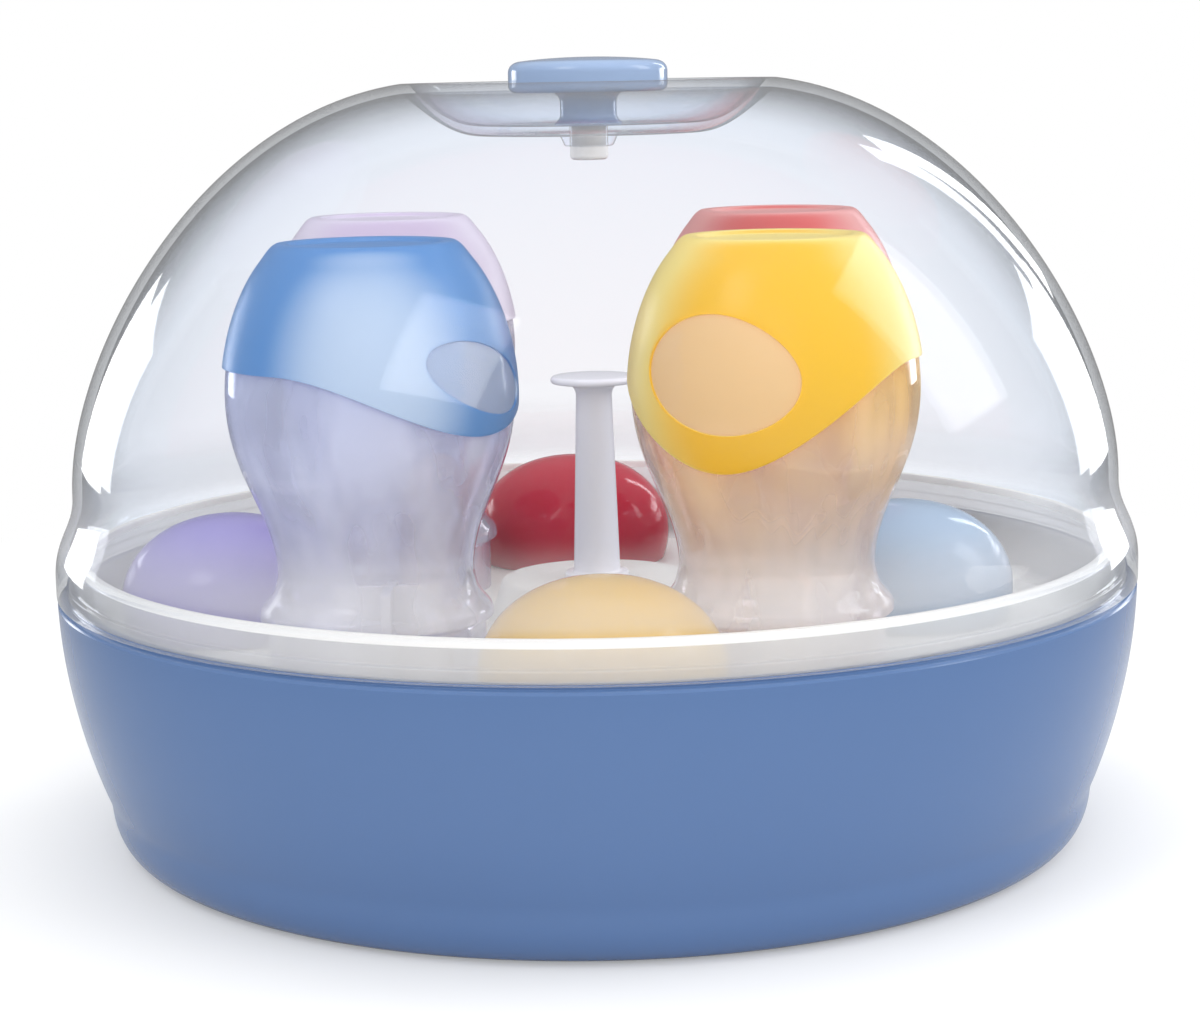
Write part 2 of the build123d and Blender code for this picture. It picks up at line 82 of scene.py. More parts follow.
# Rack and lifting post
FLOOR_Z, FLOOR_T = 51.0, 2.0
TUB_R, TUB_WALL, TUB_FLOOR_R = 126.6, 2.2, 123.4
CREST_Z = 74.0
FLANGE_TOP_Z, FLANGE_R, FLANGE_FOOT_R = 68.0, 131.9, 130.4
PLATFORM_R, PLATFORM_FOOT_R, PLATFORM_Z = 24.0, 28.0, 63.0
SOCKET_R = 4.2
PEG_R, PEG_HEIGHT, PEG_RIB = 13.2, 20.0, 2.4
PEGS = [(x, y) for x in (-48.612, 48.612) for y in (-53.989, 53.989)]
STEAM_HOLE_R = 1.4
PEG_HOLE_PITCH_R, PEG_HOLE_TURNS = 10.5, (30, 60)
WALL_HOLE_PITCH_R, WALL_HOLE_TURNS = 112.0, (24, 30, 60, 66)
SLOT_LENGTH, SLOT_PITCH_R = 16.0, 38.0
POST_FOOT_R, POST_NECK_R = 5.9, 4.5
POST_DISC_R, POST_DISC_T, POST_TOP_Z = 10.9, 2.2, 114.6
COLLAR_R, COLLAR_T = 8.2, 1.4

# Knob and its plug
KNOB_R, KNOB_TOP_Z, KNOB_CROWN, KNOB_UNDER_Z = 19.7, 193.2, 0.9, 184.6
KNOB_STEM_R = 7.0
SPIGOT_R, SPIGOT_END_Z = 3.1, 170.4
PLUG_R, PLUG_END_Z = 4.7, 168.0
FIT = 0.05

# Bottles, upside down: heights are above the rack's floor
BOTTLE_H = 101.2
MOUTH_R, BORE_R = 25.4, 21.3
BEAD_R, BEAD_Z = 27.4, 16.5
BOTTLE_WAIST_R, BOTTLE_WAIST_Z = 22.8, 24.5
BELLY_R, BELLY_Z = 33.4, 66.1
SHOULDER_R, BOTTLE_SHOULDER_Z = 23.6, 97.0
BASE_R, BASE_DISH = 21.0, 1.0
SKIN_GAP = 0.06
SKIN_EDGE_Z = 73.5
WINDOW_SUNK, WINDOW_T = 0.45, 0.3

# Caps, open side down
CAP_R, CAP_FOOT_R = 27.8, 26.4
CAP_H, CAP_WIDEST_Z = 29.6, 8.0

# Where each bottle and cap stands, from the frame
BOTTLES = ("blue", "yellow", "pink", "red")
CAPS = ("purple", "yellow", "blue", "red")

# Each skin: the way its window faces, how far its edge dips there, the window's half width and half
# height, its tilt, and its height over the rack's floor
FULL_LOBE = {"lobe": 23.6, "window": (18.8, 13.2), "tilt": -8.0, "eye_z": 72.2}
SKINS = {
    "blue": {"turn": -35.0, "lobe": 15.0, "window": (17.0, 7.5), "tilt": -18.0, "eye_z": 71.5},
    "yellow": {"turn": -117.0, **FULL_LOBE},
    "pink": {"turn": 120.0, **FULL_LOBE},
    "red": {"turn": 60.0, **FULL_LOBE},
}

# Angle between faces, in degrees, from which an edge looks sharp
SHARP_FROM = 35

# Sizes of the patterns in every moulding, in millimetres: flow clouds, and where hands dull the gloss
FLOW_MM, HANDLED_MM = 55.0, 30.0

# Share of a lamp's light that the coloured skins and the milky rack let pass, and how much of what is
# behind it the rack's wall shows
SKIN_LETS, RACK_LETS, WALL_SHOWS = 0.85, 0.6, 0.6

# How much of its skin's colour is painted on a bottle, as light coloured by the skin: on its glass, and on
# its milky streaks
GLASS_SKIN_LIGHT = 0.14
RUNS_SKIN_LIGHT = {"blue": 0.3, "yellow": 0.85, "pink": 0.3, "red": 0.3}

# Skins painted paler in front, as a painted highlight, the others painted paler where they turn away, as a
# painted sheen, and between which shares of a quarter turn each kind changes
PAINTED_HIGHLIGHT_IN_FRONT = ("blue",)
HIGHLIGHT_SPREAD_IN_FRONT, SHEEN_SPREAD_AT_SIDES = (0.0, 0.34), (0.18, 0.6)

# Painted reflection on the lid, a white veil low on the dome: lower and upper height of a stretch, and the
# veil's share at each
PAINTED_VEIL_RISES, PAINTED_VEIL_THINS = (73.0, 78.0, 0.1, 1.0), (79.0, 96.0, 0.25, 0.008)

WHITE, NEARLY_CLEAR, VEIL_WHITE = (1.0, 1.0, 1.0, 1.0), (0.97, 0.97, 0.98, 1.0), (0.8, 0.8, 0.82, 1.0)

# Distances between which the floor turns into the background, in metres, and the brightness that the
# far floor has in reflections, white being 1
FLOOR_FADES = (0.16, 0.5)
FLOOR_IN_GLOSS = 0.3

# Height that the lamps face, in metres
LAMPS_AIM_Z = 0.1

# Camera, as the photograph was taken
CAMERA_AT = (0.001, -0.675, 0.191)
CAMERA_DOWN, CAMERA_ROLL = 0.163, -0.019
LENS, SENSOR = 81.0, 36.0


def linear(code):
    """A colour written as sRGB hex, as the linear values that a shader works in."""
    parts = [int(code[i:i + 2], 16) / 255 for i in (1, 3, 5)]
    return [c / 12.92 if c <= 0.04045 else ((c + 0.055) / 1.055) ** 2.4 for c in parts]


def colour(name, about, code):
    return FloatVectorProperty(name=name, description=about, default=linear(code), size=3, min=0, max=1,
                               subtype="COLOR")


def length(name, about, mm):
    return FloatProperty(name=name, description=about, default=mm * MM, min=0.1 * MM, max=10 * MM,
                         precision=4, subtype="DISTANCE", unit="LENGTH")


class SteriliserSizes(bpy.types.PropertyGroup):
    """Walls, thicknesses and how finely the round pieces are divided."""

    bowl_wall: length("Bowl wall", "Thickness of the bowl's side", 3.0)
    lid_wall: length("Lid wall", "Thickness of the clear dome", 2.4)
    bottle_wall: length("Bottle wall", "Thickness of a bottle's side", 1.5)
    skin: length("Skin", "Thickness of the coloured skin on a bottle", 0.9)
    cap_wall: length("Cap wall", "Thickness of a bottle's cap", 1.6)
    turns: IntProperty(name="Divisions", description="Divisions of the bowl and lid round a full turn",
                       default=192, min=32, max=360)


class SteriliserColours(bpy.types.PropertyGroup):
    """Colours of the moulded plastics."""

    bowl: colour("Bowl", "Blue of the bowl", "#516D99")
    rack: colour("Rack", "Milky white of the rack", "#F2F1EE")
    post: colour("Post", "White of the lifting post", "#F2F2FA")
    lid_face: colour("Lid", "Tint of the clear lid where it is seen face on", "#FEFEFF")
    lid: colour("Lid edge", "Tint of the clear lid where it turns away", "#FAFCFF")
    knob: colour("Knob", "Grey blue of the lid's knob", "#8FA4C4")
    plug: colour("Plug", "Natural colour of the knob's plug", "#ECEAE8")
    bottle: colour("Bottle", "Tint of the clear bottles", "#F2F0FA")
    bottle_edge: colour("Bottle edge", "Tint of a bottle's wall seen edge on", "#C4C2E4")
    skin_blue: colour("Blue skin", "Coloured skin of the front left bottle", "#5C94D2")
    skin_yellow: colour("Yellow skin", "Coloured skin of the front right bottle", "#FFC826")
    skin_pink: colour("Pink skin", "Coloured skin of the back left bottle", "#DCCBE6")
    skin_red: colour("Red skin", "Coloured skin of the back right bottle", "#E0625F")
    # The pale colours are painted light: a painted highlight on the blue skin seen face on, a painted sheen
    # where the other skins turn away
    painted_light_blue: colour("Blue skin, pale", "Blue skin where it is seen face on", "#C4D8F0")
    painted_light_yellow: colour("Yellow skin, pale", "Yellow skin where it turns away", "#FFEB8C")
    painted_light_pink: colour("Pink skin, pale", "Pink skin where it turns away", "#E6DDEE")
    painted_light_red: colour("Red skin, pale", "Red skin where it turns away", "#EDA6A2")
    cap_purple: colour("Purple cap", "Cap at the left", "#A49CD6")
    cap_yellow: colour("Yellow cap", "Cap at the front", "#D9AE40")
    cap_blue: colour("Blue cap", "Cap at the right", "#B2C7DE")
    cap_red: colour("Red cap", "Cap at the back", "#D00A36")
    floor: colour("Floor", "Pale floor under the object", "#F4F4F4")


def sizes():
    return bpy.context.scene.steriliser_sizes


def tint(name):
    return (*getattr(bpy.context.scene.steriliser_colours, name), 1.0)


def per(mm):
    """Scale of a pattern whose features are this many millimetres across, on Object coordinates."""
    return 1 / (mm * MM)


def polar(radius, a, centre=(0, 0)):
    """Point at an angle from +X round centre."""
    return centre[0] + radius * cos(a), centre[1] + radius * sin(a)


# Outlines are lists of (radius, height) in millimetres, with a third number where a corner is rounded

def curve(start, pull, push, end, points):
    """Bezier stretch of an outline, both ends included."""
    stretch = interpolate_bezier(*(Vector((*p, 0)) for p in (start, pull, push, end)), points)
    return [(p.x, p.y) for p in stretch]


def ease(bm, geom, mm, segments, affect="EDGES"):
    """Rounds edges or, on a wire, its corners."""
    bmesh.ops.bevel(bm, geom=geom, offset=mm * MM, offset_type="OFFSET", segments=segments, profile=0.5,
                    affect=affect, clamp_overlap=True, material=-1)


def wire(outline):
    """A new bmesh that holds an outline as a wire in the plane y = 0, with its corners rounded."""
    bm = bmesh.new()
    verts = [bm.verts.new((point[0] * MM, 0, point[1] * MM)) for point in outline]
    for pair in zip(verts, verts[1:]):
        bm.edges.new(pair)
    for vert, point in zip(verts, outline):
        if len(point) == 3:
            ease(bm, [vert], point[2], 4, "VERTICES")
    return bm


def lathe(outline, steps, centre=(0, 0)):
    """A new bmesh of an outline spun a full turn about the upright axis through centre."""
    bm = wire(outline)
    bmesh.ops.spin(bm, geom=bm.verts[:] + bm.edges[:], cent=(0, 0, 0), axis=(0, 0, 1), angle=tau,
                   steps=steps, use_merge=True)
    seal(bm)
    bmesh.ops.translate(bm, vec=(centre[0], centre[1], 0), verts=bm.verts)
    return bm


def seal(bm):
    """Closes seams and poles, then turns every face outwards."""
    bmesh.ops.remove_doubles(bm, verts=bm.verts, dist=0.002 * MM)
    bmesh.ops.dissolve_degenerate(bm, dist=0.001 * MM, edges=bm.edges)
    bmesh.ops.recalc_face_normals(bm, faces=bm.faces)


def middle(node):
    """Centre of a CAD node seen from above, in metres."""
    low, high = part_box(node)
    return (low.x + high.x) / 2, (low.y + high.y) / 2


def place(bm, name, node, body, materials):
    """Makes a bmesh the piece that stands for a CAD node, and lets it move with its body."""
    mesh = bpy.data.meshes.new(name)
    bm.to_mesh(mesh)
    bm.free()
    mesh.shade_smooth()
    mesh.set_sharp_from_angle(angle=radians(SHARP_FROM))
    for material in materials:
        mesh.materials.append(material)
    piece = bpy.data.objects.new(name, mesh)
    bpy.context.scene.collection.objects.link(piece)
    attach(piece, body)
    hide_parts(node)
    return piece


def ring(bm, radius, z, segments):
    """Edges of a flat circle round the main axis, in millimetres."""
    made = bmesh.ops.create_circle(bm, radius=radius * MM, segments=segments,
                                   matrix=Matrix.Translation((0, 0, z * MM)))
    return list({edge for vert in made["verts"] for edge in vert.link_edges})


def hole(bm, at, radius, z, stretch=0.0, turn=0.0):
    """Edges of a round hole's rim or, with a stretch, of a slot's rim."""
    verts = bmesh.ops.create_circle(bm, radius=radius * MM, segments=24)["verts"]
    for vert in verts:
        vert.co.x += stretch * MM * (1 if vert.co.x > 0 else -1)
    spot = Matrix.Translation((at[0] * MM, at[1] * MM, z * MM)) @ Matrix.Rotation(turn, 4, "Z")
    bmesh.ops.transform(bm, matrix=spot, verts=verts)
    return list({edge for vert in verts for edge in vert.link_edges})


def pierced_plate(bm, inner_r, outer_r, under, over, holes, segments):
    """Flat ring with through holes, as an upper and a lower face joined round each hole.

    inner_r and outer_r are pairs: the lower face's radius and the upper face's.
    """
    rims = []
    for level, z in enumerate((under, over)):
        edges = ring(bm, inner_r[level], z, segments) + ring(bm, outer_r[level], z, segments)
        row = [hole(bm, z=z, **where) for where in holes]
        bmesh.ops.triangle_fill(bm, use_beauty=True, use_dissolve=False,
                                edges=edges + [edge for rim in row for edge in rim])
        rims.append(row)
    for lower, upper in zip(*rims):
        bmesh.ops.bridge_loops(bm, edges=lower + upper)


def absorb(bm, other):
    """Adds another bmesh's faces to this one and frees it."""
    spare = bpy.data.meshes.new("spare")
    other.to_mesh(spare)
    other.free()
    bm.from_mesh(spare)
    bpy.data.meshes.remove(spare)


# Materials

def add(tree, kind, sockets=None, **settings):
    """Adds a node. sockets gives each input, by name or number, its value, the output that feeds it, or
    the node whose first usable output does."""
    node = tree.nodes.new(kind)
    for name, value in settings.items():
        setattr(node, name, value)
    for key, value in (sockets or {}).items():
        if isinstance(value, bpy.types.Node):
            value = next(socket for socket in value.outputs if socket.enabled)
        if isinstance(value, bpy.types.NodeSocket):
            tree.links.new(value, node.inputs[key])
        else:
            node.inputs[key].default_value = value
    return node


def fresh(name):
    """A new material, its node tree, the tree's output, and the coordinates that its patterns lie on."""
    material = bpy.data.materials.new(name)
    material.use_nodes = True
    tree = material.node_tree
    tree.nodes.clear()
    out = add(tree, "ShaderNodeOutputMaterial")
    return material, tree, out, add(tree, "ShaderNodeTexCoord").outputs["Object"]


def shade(colour_value, factor):
    return (*(min(1.0, c * factor) for c in colour_value[:3]), 1.0)


def rays(tree, *kinds):
    """1 for a ray of any of these kinds, 0 for the rest."""
    path = add(tree, "ShaderNodeLightPath")
    found, *others = (path.outputs[kind] for kind in kinds)
    for other in others:
        found = add(tree, "ShaderNodeMath", {0: found, 1: other}, operation="MAXIMUM")
    return found


def pass_light(tree, seen, colour_value, share=1.0):
    """A shader that looks as seen does, and lets this share of the lamps' light straight through."""
    passed = add(tree, "ShaderNodeMath", {0: rays(tree, "Is Shadow Ray", "Is Diffuse Ray"), 1: share},
                 operation="MULTIPLY")
    clear = add(tree, "ShaderNodeBsdfTransparent", {"Color": colour_value})
    return add(tree, "ShaderNodeMixShader", {0: passed, 1: seen, 2: clear})


def relief(tree, where, mm, detail, strength, depth):
    """Normals of a face that a pattern this many millimetres across raises by up to depth millimetres."""
    noise = add(tree, "ShaderNodeTexNoise", {"Vector": where, "Scale": per(mm), "Detail": detail})
    return add(tree, "ShaderNodeBump", {"Height": noise, "Strength": strength, "Distance": depth * MM})


def moulded(name, colour_value, roughness, depth=0.05, wear=0.15, peel_mm=2.0, peel_depth=0.012):
    """Injection moulded plastic: even body colour with faint flow clouds, a face whose gloss varies a
    little, and the fine orange peel of a polished mould where peel_depth leaves any."""
    material, tree, out, where = fresh(name)
    flow = add(tree, "ShaderNodeTexNoise", {"Vector": where, "Scale": per(FLOW_MM), "Detail": 3.0})
    body = add(tree, "ShaderNodeMix", {"Factor": flow, "A": shade(colour_value, 1 - depth),
                                       "B": shade(colour_value, 1 + depth)}, data_type="RGBA")
    handled = add(tree, "ShaderNodeTexNoise", {"Vector": where, "Scale": per(HANDLED_MM), "Detail": 2.0})
    gloss = add(tree, "ShaderNodeMapRange", {
        "Value": handled, "From Min": 0.3, "From Max": 0.7, "To Min": roughness * (1 - wear),
        "To Max": roughness * (1 + wear)})
    surface = add(tree, "ShaderNodeBsdfPrincipled", {"Base Color": body, "Roughness": gloss, "IOR": 1.49})
    if peel_depth:
        peel = relief(tree, where, peel_mm, 1.0, 0.2, peel_depth)
        tree.links.new(peel.outputs["Normal"], surface.inputs["Normal"])
    tree.links.new(surface.outputs[0], out.inputs["Surface"])
    return material, tree, surface, out


def bowl_plastic():
    """Blue polypropylene, moulded against a polished tool: glossy, with soft-edged reflections."""
    return moulded("blue_polypropylene_moulded", tint("bowl"), 0.17, depth=0.025, wear=0.06,
                   peel_depth=0)[0]


def milky_plastic():
    """Natural polypropylene: unpigmented, so light passes a little way in and it looks milky, and what
    stands close behind its upright wall shows through below the crest."""
    material, tree, surface, out = moulded("natural_polypropylene_milky", tint("rack"), 0.36)
    glow = add(tree, "ShaderNodeBsdfTranslucent", {"Color": tint("rack")})
    milky = add(tree, "ShaderNodeMixShader", {0: 0.15, 1: surface, 2: glow})
    where = add(tree, "ShaderNodeTexCoord").outputs["Object"]
    level = add(tree, "ShaderNodeVectorMath", {0: where, 1: (1, 1, 0)}, operation="MULTIPLY")
    away = add(tree, "ShaderNodeVectorMath", {0: level}, operation="LENGTH")
    outer = add(tree, "ShaderNodeMapRange", {
        "Value": away, "From Min": (TUB_R - 4) * MM, "From Max": TUB_R * MM, "To Min": 0.0,
        "To Max": WALL_SHOWS})
    height = add(tree, "ShaderNodeSeparateXYZ", {0: where}).outputs["Z"]
    below = add(tree, "ShaderNodeMath", {0: height, 1: (CREST_Z - 2) * MM}, operation="LESS_THAN")
    wall = add(tree, "ShaderNodeMath", {0: outer, 1: below}, operation="MULTIPLY")
    lets = add(tree, "ShaderNodeMath", {0: rays(tree, "Is Shadow Ray", "Is Diffuse Ray"), 1: RACK_LETS},
               operation="MULTIPLY")
    share = add(tree, "ShaderNodeMath", {0: lets, 1: wall}, operation="MAXIMUM")
    clear = add(tree, "ShaderNodeBsdfTransparent", {"Color": NEARLY_CLEAR})
    both = add(tree, "ShaderNodeMixShader", {0: share, 1: milky, 2: clear})
    tree.links.new(both.outputs[0], out.inputs["Surface"])
    return material


def acetal():
    """White acetal: dense and slick, for the post that takes the rack's weight."""
    return moulded("white_acetal_moulded", tint("post"), 0.22, depth=0.02)[0]


def knob_plastic():
    """Grey blue ABS, high gloss: sharp highlights on the knob's rounded rim."""
    return moulded("grey_blue_abs_polished", tint("knob"), 0.1, depth=0.02, wear=0.1, peel_depth=0)[0]


def plug_plastic():
    """Natural nylon: a dull off-white, as the knob's push-on plug is moulded."""
    return moulded("natural_nylon_moulded", tint("plug"), 0.45)[0]


def cap_plastic(name):
    """Tinted polypropylene, thin and glossy: its colour deepens where light comes through the wall."""
    shown = tint(f"cap_{name}")
    material, tree, surface, out = moulded(f"{name}_polypropylene_gloss", shown, 0.12, peel_depth=0.004)
    glow = add(tree, "ShaderNodeBsdfTranslucent", {"Color": shown})
    both = add(tree, "ShaderNodeMixShader", {0: 0.12, 1: surface, 2: glow})
    tree.links.new(both.outputs[0], out.inputs["Surface"])
    return material


def skin_plastic(name):
    """Tinted elastomer, moulded over the bottle: satin, with painted light in its colour, a painted highlight
    where the blue skin is seen face on and a painted sheen where the other skins turn away, and it glows
    where light comes from inside."""
    shown, painted_light_tone = tint(f"skin_{name}"), tint(f"painted_light_{name}")
    material, tree, surface, out = moulded(f"{name}_elastomer_overmoulded", shown, 0.34, depth=0.03,
                                           peel_mm=2.6, peel_depth=0.006)
    full = surface.inputs["Base Color"].links[0].from_socket
    in_front = name in PAINTED_HIGHLIGHT_IN_FRONT
    start, end = HIGHLIGHT_SPREAD_IN_FRONT if in_front else SHEEN_SPREAD_AT_SIDES
    # Painted light: the base colour turns to the pale colour face on for the blue skin, and where it turns
    # away for the others
    facing = add(tree, "ShaderNodeLayerWeight", {"Blend": 0.5}).outputs["Facing"]
    painted_light_share = add(tree, "ShaderNodeMapRange", {"Value": facing, "From Min": start, "From Max": end},
                 interpolation_type="SMOOTHSTEP")
    body = add(tree, "ShaderNodeMix", {"Factor": painted_light_share, "A": painted_light_tone if in_front else full,
                                       "B": full if in_front else painted_light_tone}, data_type="RGBA").outputs["Result"]
    tree.links.new(body, surface.inputs["Base Color"])
    glow = add(tree, "ShaderNodeBsdfTranslucent", {"Color": body})
    seen = add(tree, "ShaderNodeMixShader", {0: 0.25, 1: surface, 2: glow})
    both = pass_light(tree, seen, shown, SKIN_LETS)
    tree.links.new(both.outputs[0], out.inputs["Surface"])
    return material


def pane_plastic(name):
    """The same elastomer where it is moulded thin: tinted and see-through, with a rippled face."""
    material, tree, out, where = fresh(f"{name}_elastomer_thin")
    ripple = relief(tree, where, 3.5, 2.0, 0.6, 0.3)
    tinted = tuple(0.35 + 0.65 * c for c in tint(f"skin_{name}"))
    clear = add(tree, "ShaderNodeBsdfTransparent", {"Color": tinted})
    cloud = add(tree, "ShaderNodeBsdfDiffuse", {"Color": tinted})
    milky = add(tree, "ShaderNodeMixShader", {0: 0.62, 1: clear, 2: cloud})
    mirror = add(tree, "ShaderNodeBsdfGlossy", {"Color": WHITE, "Roughness": 0.12, "Normal": ripple})
    both = add(tree, "ShaderNodeMixShader", {0: 0.08, 1: milky, 2: mirror})
    tree.links.new(both.outputs[0], out.inputs["Surface"])
    return material


def bottle_plastic(name):
    """Clear polycarbonate, blow moulded: it bends what is behind it, and its wall looks lavender where it is
    seen edge on. A milky layer, lit by the lamps, runs down it in streaks that are painted in place of
    refraction patches. Glass and streaks are both painted with some of the skin's colour, as light coloured
    by the skin, most towards the skin."""
    material, tree, out, where = fresh(f"clear_polycarbonate_blown_{name}")
    facing = add(tree, "ShaderNodeLayerWeight", {"Blend": 0.5}).outputs["Facing"]
    edge = add(tree, "ShaderNodeMath", {0: facing, 1: 2.0}, operation="POWER")
    wall = add(tree, "ShaderNodeMix", {"Factor": edge, "A": tint("bottle"), "B": tint("bottle_edge")},
               data_type="RGBA")
    # Painted light: the skin's colour laid on the glass and the streaks, as light coloured by the skin,
    # rising towards the skin's edge
    height = add(tree, "ShaderNodeSeparateXYZ", {0: where}).outputs["Z"]
    skin_light_reach = add(tree, "ShaderNodeMapRange", {
        "Value": height, "From Min": (FLOOR_Z + BEAD_Z) * MM, "From Max": (FLOOR_Z + SKIN_EDGE_Z) * MM,
        "To Min": 0.3, "To Max": 1.0})
    glass_and_skin_light, runs_and_skin_light = (
        add(tree, "ShaderNodeMix", {
            "Factor": add(tree, "ShaderNodeMath", {0: skin_light_reach, 1: share}, operation="MULTIPLY"),
            "A": wall, "B": tint(f"skin_{name}")}, data_type="RGBA")
        for share in (GLASS_SKIN_LIGHT, RUNS_SKIN_LIGHT[name]))
    glass = add(tree, "ShaderNodeBsdfPrincipled", {
        "Base Color": glass_and_skin_light, "Roughness": 0.03, "IOR": 1.58, "Transmission Weight": 1.0,
        "Normal": relief(tree, where, 14, 2.0, 0.5, 0.25)})
    # Painted refraction: milky diffuse streaks where the glass would show refraction patches
    tall = add(tree, "ShaderNodeVectorMath", {0: where, 1: (1, 1, 0.35)}, operation="MULTIPLY")
    runs = add(tree, "ShaderNodeTexNoise", {"Vector": tall, "Scale": per(16), "Detail": 2.0})
    runs_share = add(tree, "ShaderNodeMapRange", {
        "Value": runs, "From Min": 0.35, "From Max": 0.65, "To Min": 0.14, "To Max": 0.42})
    painted_refraction_runs = add(tree, "ShaderNodeBsdfDiffuse", {"Color": runs_and_skin_light})
    seen = add(tree, "ShaderNodeMixShader", {0: runs_share, 1: glass, 2: painted_refraction_runs})
    both = pass_light(tree, seen, NEARLY_CLEAR)
    tree.links.new(both.outputs[0], out.inputs["Surface"])
    return material


def lid_plastic():
    """Clear polycarbonate, injection moulded: nearly invisible face on, grey and mirror-like at its edges,
    with a painted reflection as a low white veil over the rack's rim."""
    material, tree, out, where = fresh("clear_polycarbonate_moulded")
    facing = add(tree, "ShaderNodeLayerWeight", {"Blend": 0.5}).outputs["Facing"]
    deep = add(tree, "ShaderNodeValToRGB", {0: facing})
    ramp = deep.color_ramp.elements
    ramp[0].color, ramp[1].color = tint("lid_face"), shade(tint("lid"), 0.8)
    ramp.new(0.6).color = tint("lid")
    clear = add(tree, "ShaderNodeBsdfTransparent", {"Color": deep})
    swirl = add(tree, "ShaderNodeTexNoise", {"Vector": where, "Scale": per(60), "Detail": 2.0})
    gloss = add(tree, "ShaderNodeMapRange", {"Value": swirl, "To Min": 0.02, "To Max": 0.07})
    mirror = add(tree, "ShaderNodeBsdfGlossy", {"Color": WHITE, "Roughness": gloss})
    grazing = add(tree, "ShaderNodeMath", {0: facing, 1: 5.0}, operation="POWER")
    bounce = add(tree, "ShaderNodeMapRange", {"Value": grazing, "To Min": 0.018, "To Max": 0.9})
    polished = add(tree, "ShaderNodeMixShader", {0: bounce, 1: clear, 2: mirror})
    # Painted reflection: a patchy white veil, diffuse and translucent, in a band low on the dome
    height = add(tree, "ShaderNodeSeparateXYZ", {0: where}).outputs["Z"]
    below, above = (
        add(tree, "ShaderNodeMapRange", {"Value": height, "From Min": low * MM, "From Max": high * MM,
                                         "To Min": start, "To Max": end}, interpolation_type="SMOOTHSTEP")
        for low, high, start, end in (PAINTED_VEIL_RISES, PAINTED_VEIL_THINS))
    band = add(tree, "ShaderNodeMath", {0: above, 1: below}, operation="MULTIPLY")
    cloud = add(tree, "ShaderNodeTexNoise", {"Vector": where, "Scale": per(35), "Detail": 3.0})
    patchy = add(tree, "ShaderNodeMapRange", {"Value": cloud, "To Min": 0.8, "To Max": 1.2})
    painted_veil_share = add(tree, "ShaderNodeMath", {0: band, 1: patchy}, operation="MULTIPLY")
    veil_diffuse = add(tree, "ShaderNodeBsdfDiffuse", {"Color": VEIL_WHITE})
    veil_translucent = add(tree, "ShaderNodeBsdfTranslucent", {"Color": VEIL_WHITE})
    painted_veil = add(tree, "ShaderNodeMixShader", {0: 0.5, 1: veil_diffuse, 2: veil_translucent})
    seen = add(tree, "ShaderNodeMixShader", {0: painted_veil_share, 1: polished, 2: painted_veil})
    both = pass_light(tree, seen, (0.98, 0.98, 0.98, 1.0))
    tree.links.new(both.outputs[0], out.inputs["Surface"])
    return material


def studio_floor():
    """Matt white paper that turns into the white background further out. Near the object most of its
    brightness comes from the lamps, which keeps the object's shadow."""
    material, tree, out, where = fresh("white_paper_matt")
    fibre = relief(tree, where, 5, 4.0, 0.1, 0.1)
    paper = add(tree, "ShaderNodeBsdfDiffuse", {"Color": tint("floor"), "Normal": fibre})
    away = add(tree, "ShaderNodeVectorMath", {0: where}, operation="LENGTH")
    far = add(tree, "ShaderNodeMapRange", {
        "Value": away, "From Min": FLOOR_FADES[0], "From Max": FLOOR_FADES[1], "To Min": 0.3, "To Max": 1.0})
    shown = rays(tree, "Is Camera Ray", "Is Glossy Ray", "Is Transmission Ray")
    lift = add(tree, "ShaderNodeMath", {0: shown, 1: far}, operation="MULTIPLY")
    level = add(tree, "ShaderNodeMapRange", {"Value": rays(tree, "Is Glossy Ray"), "To Min": 1.0,
                                             "To Max": FLOOR_IN_GLOSS})
    glow = add(tree, "ShaderNodeEmission", {"Color": WHITE, "Strength": level})
    both = add(tree, "ShaderNodeMixShader", {0: lift, 1: paper, 2: glow})
    tree.links.new(both.outputs[0], out.inputs["Surface"])
    return material


# Outlines of the pieces

def bowl_outline(wall):
    """Underside with a standing ring, rounded foot, soft waist, curved side and a stepped rim."""
    top_r = SKIRT_R - 0.2
    ledge_r = FLANGE_R + 0.1
    inside_r = TUB_R + TUB_WALL + 0.4
    outside = (
        [(0, UNDER_RECESS), (UNDER_RECESS_R, UNDER_RECESS, 0.5), (UNDER_RECESS_R + UNDER_RECESS, 0, 0.4)]
        + curve((FOOT_FLAT_R, 0), (FOOT_FLAT_R + 6.6, 0), (FOOT_SIDE_R - 0.7, 4.6),
                (FOOT_SIDE_R, FOOT_TOP_Z), 16)
        + curve((FOOT_SIDE_R, FOOT_TOP_Z), (FOOT_SIDE_R + 0.15, FOOT_TOP_Z + 1.4), (WALL_LOW_R - 0.5, 13.7),
                (WALL_LOW_R, WALL_LOW_Z), 5)[1:]
        + curve((WALL_LOW_R, WALL_LOW_Z), (128.9, 25.5), (134.3, 43.5), (top_r, SHOULDER_Z - 0.6), 28)[1:]
    )
    rim = [(top_r - 0.6, SHOULDER_Z, 0.4), (ledge_r, SHOULDER_Z, 0.2), (ledge_r, RIM_Z, 0.3),
           (inside_r, RIM_Z, 0.3), (inside_r, RIM_Z - 3.5, 0.4)]
    inner_r = top_r - wall - 0.6
    inside = (
        curve((inner_r, RIM_Z - 8), (131.0, 44.0), (126.0, 26.0), (WALL_LOW_R - wall, WALL_LOW_Z + 1), 20)
        + curve((WALL_LOW_R - wall, WALL_LOW_Z + 1), (119.5, 9.5), (116.5, BOWL_FLOOR + 0.5),
                (FOOT_FLAT_R - 3, BOWL_FLOOR), 8)[1:]
        + [(0, BOWL_FLOOR)]
    )
    return outside + rim + inside


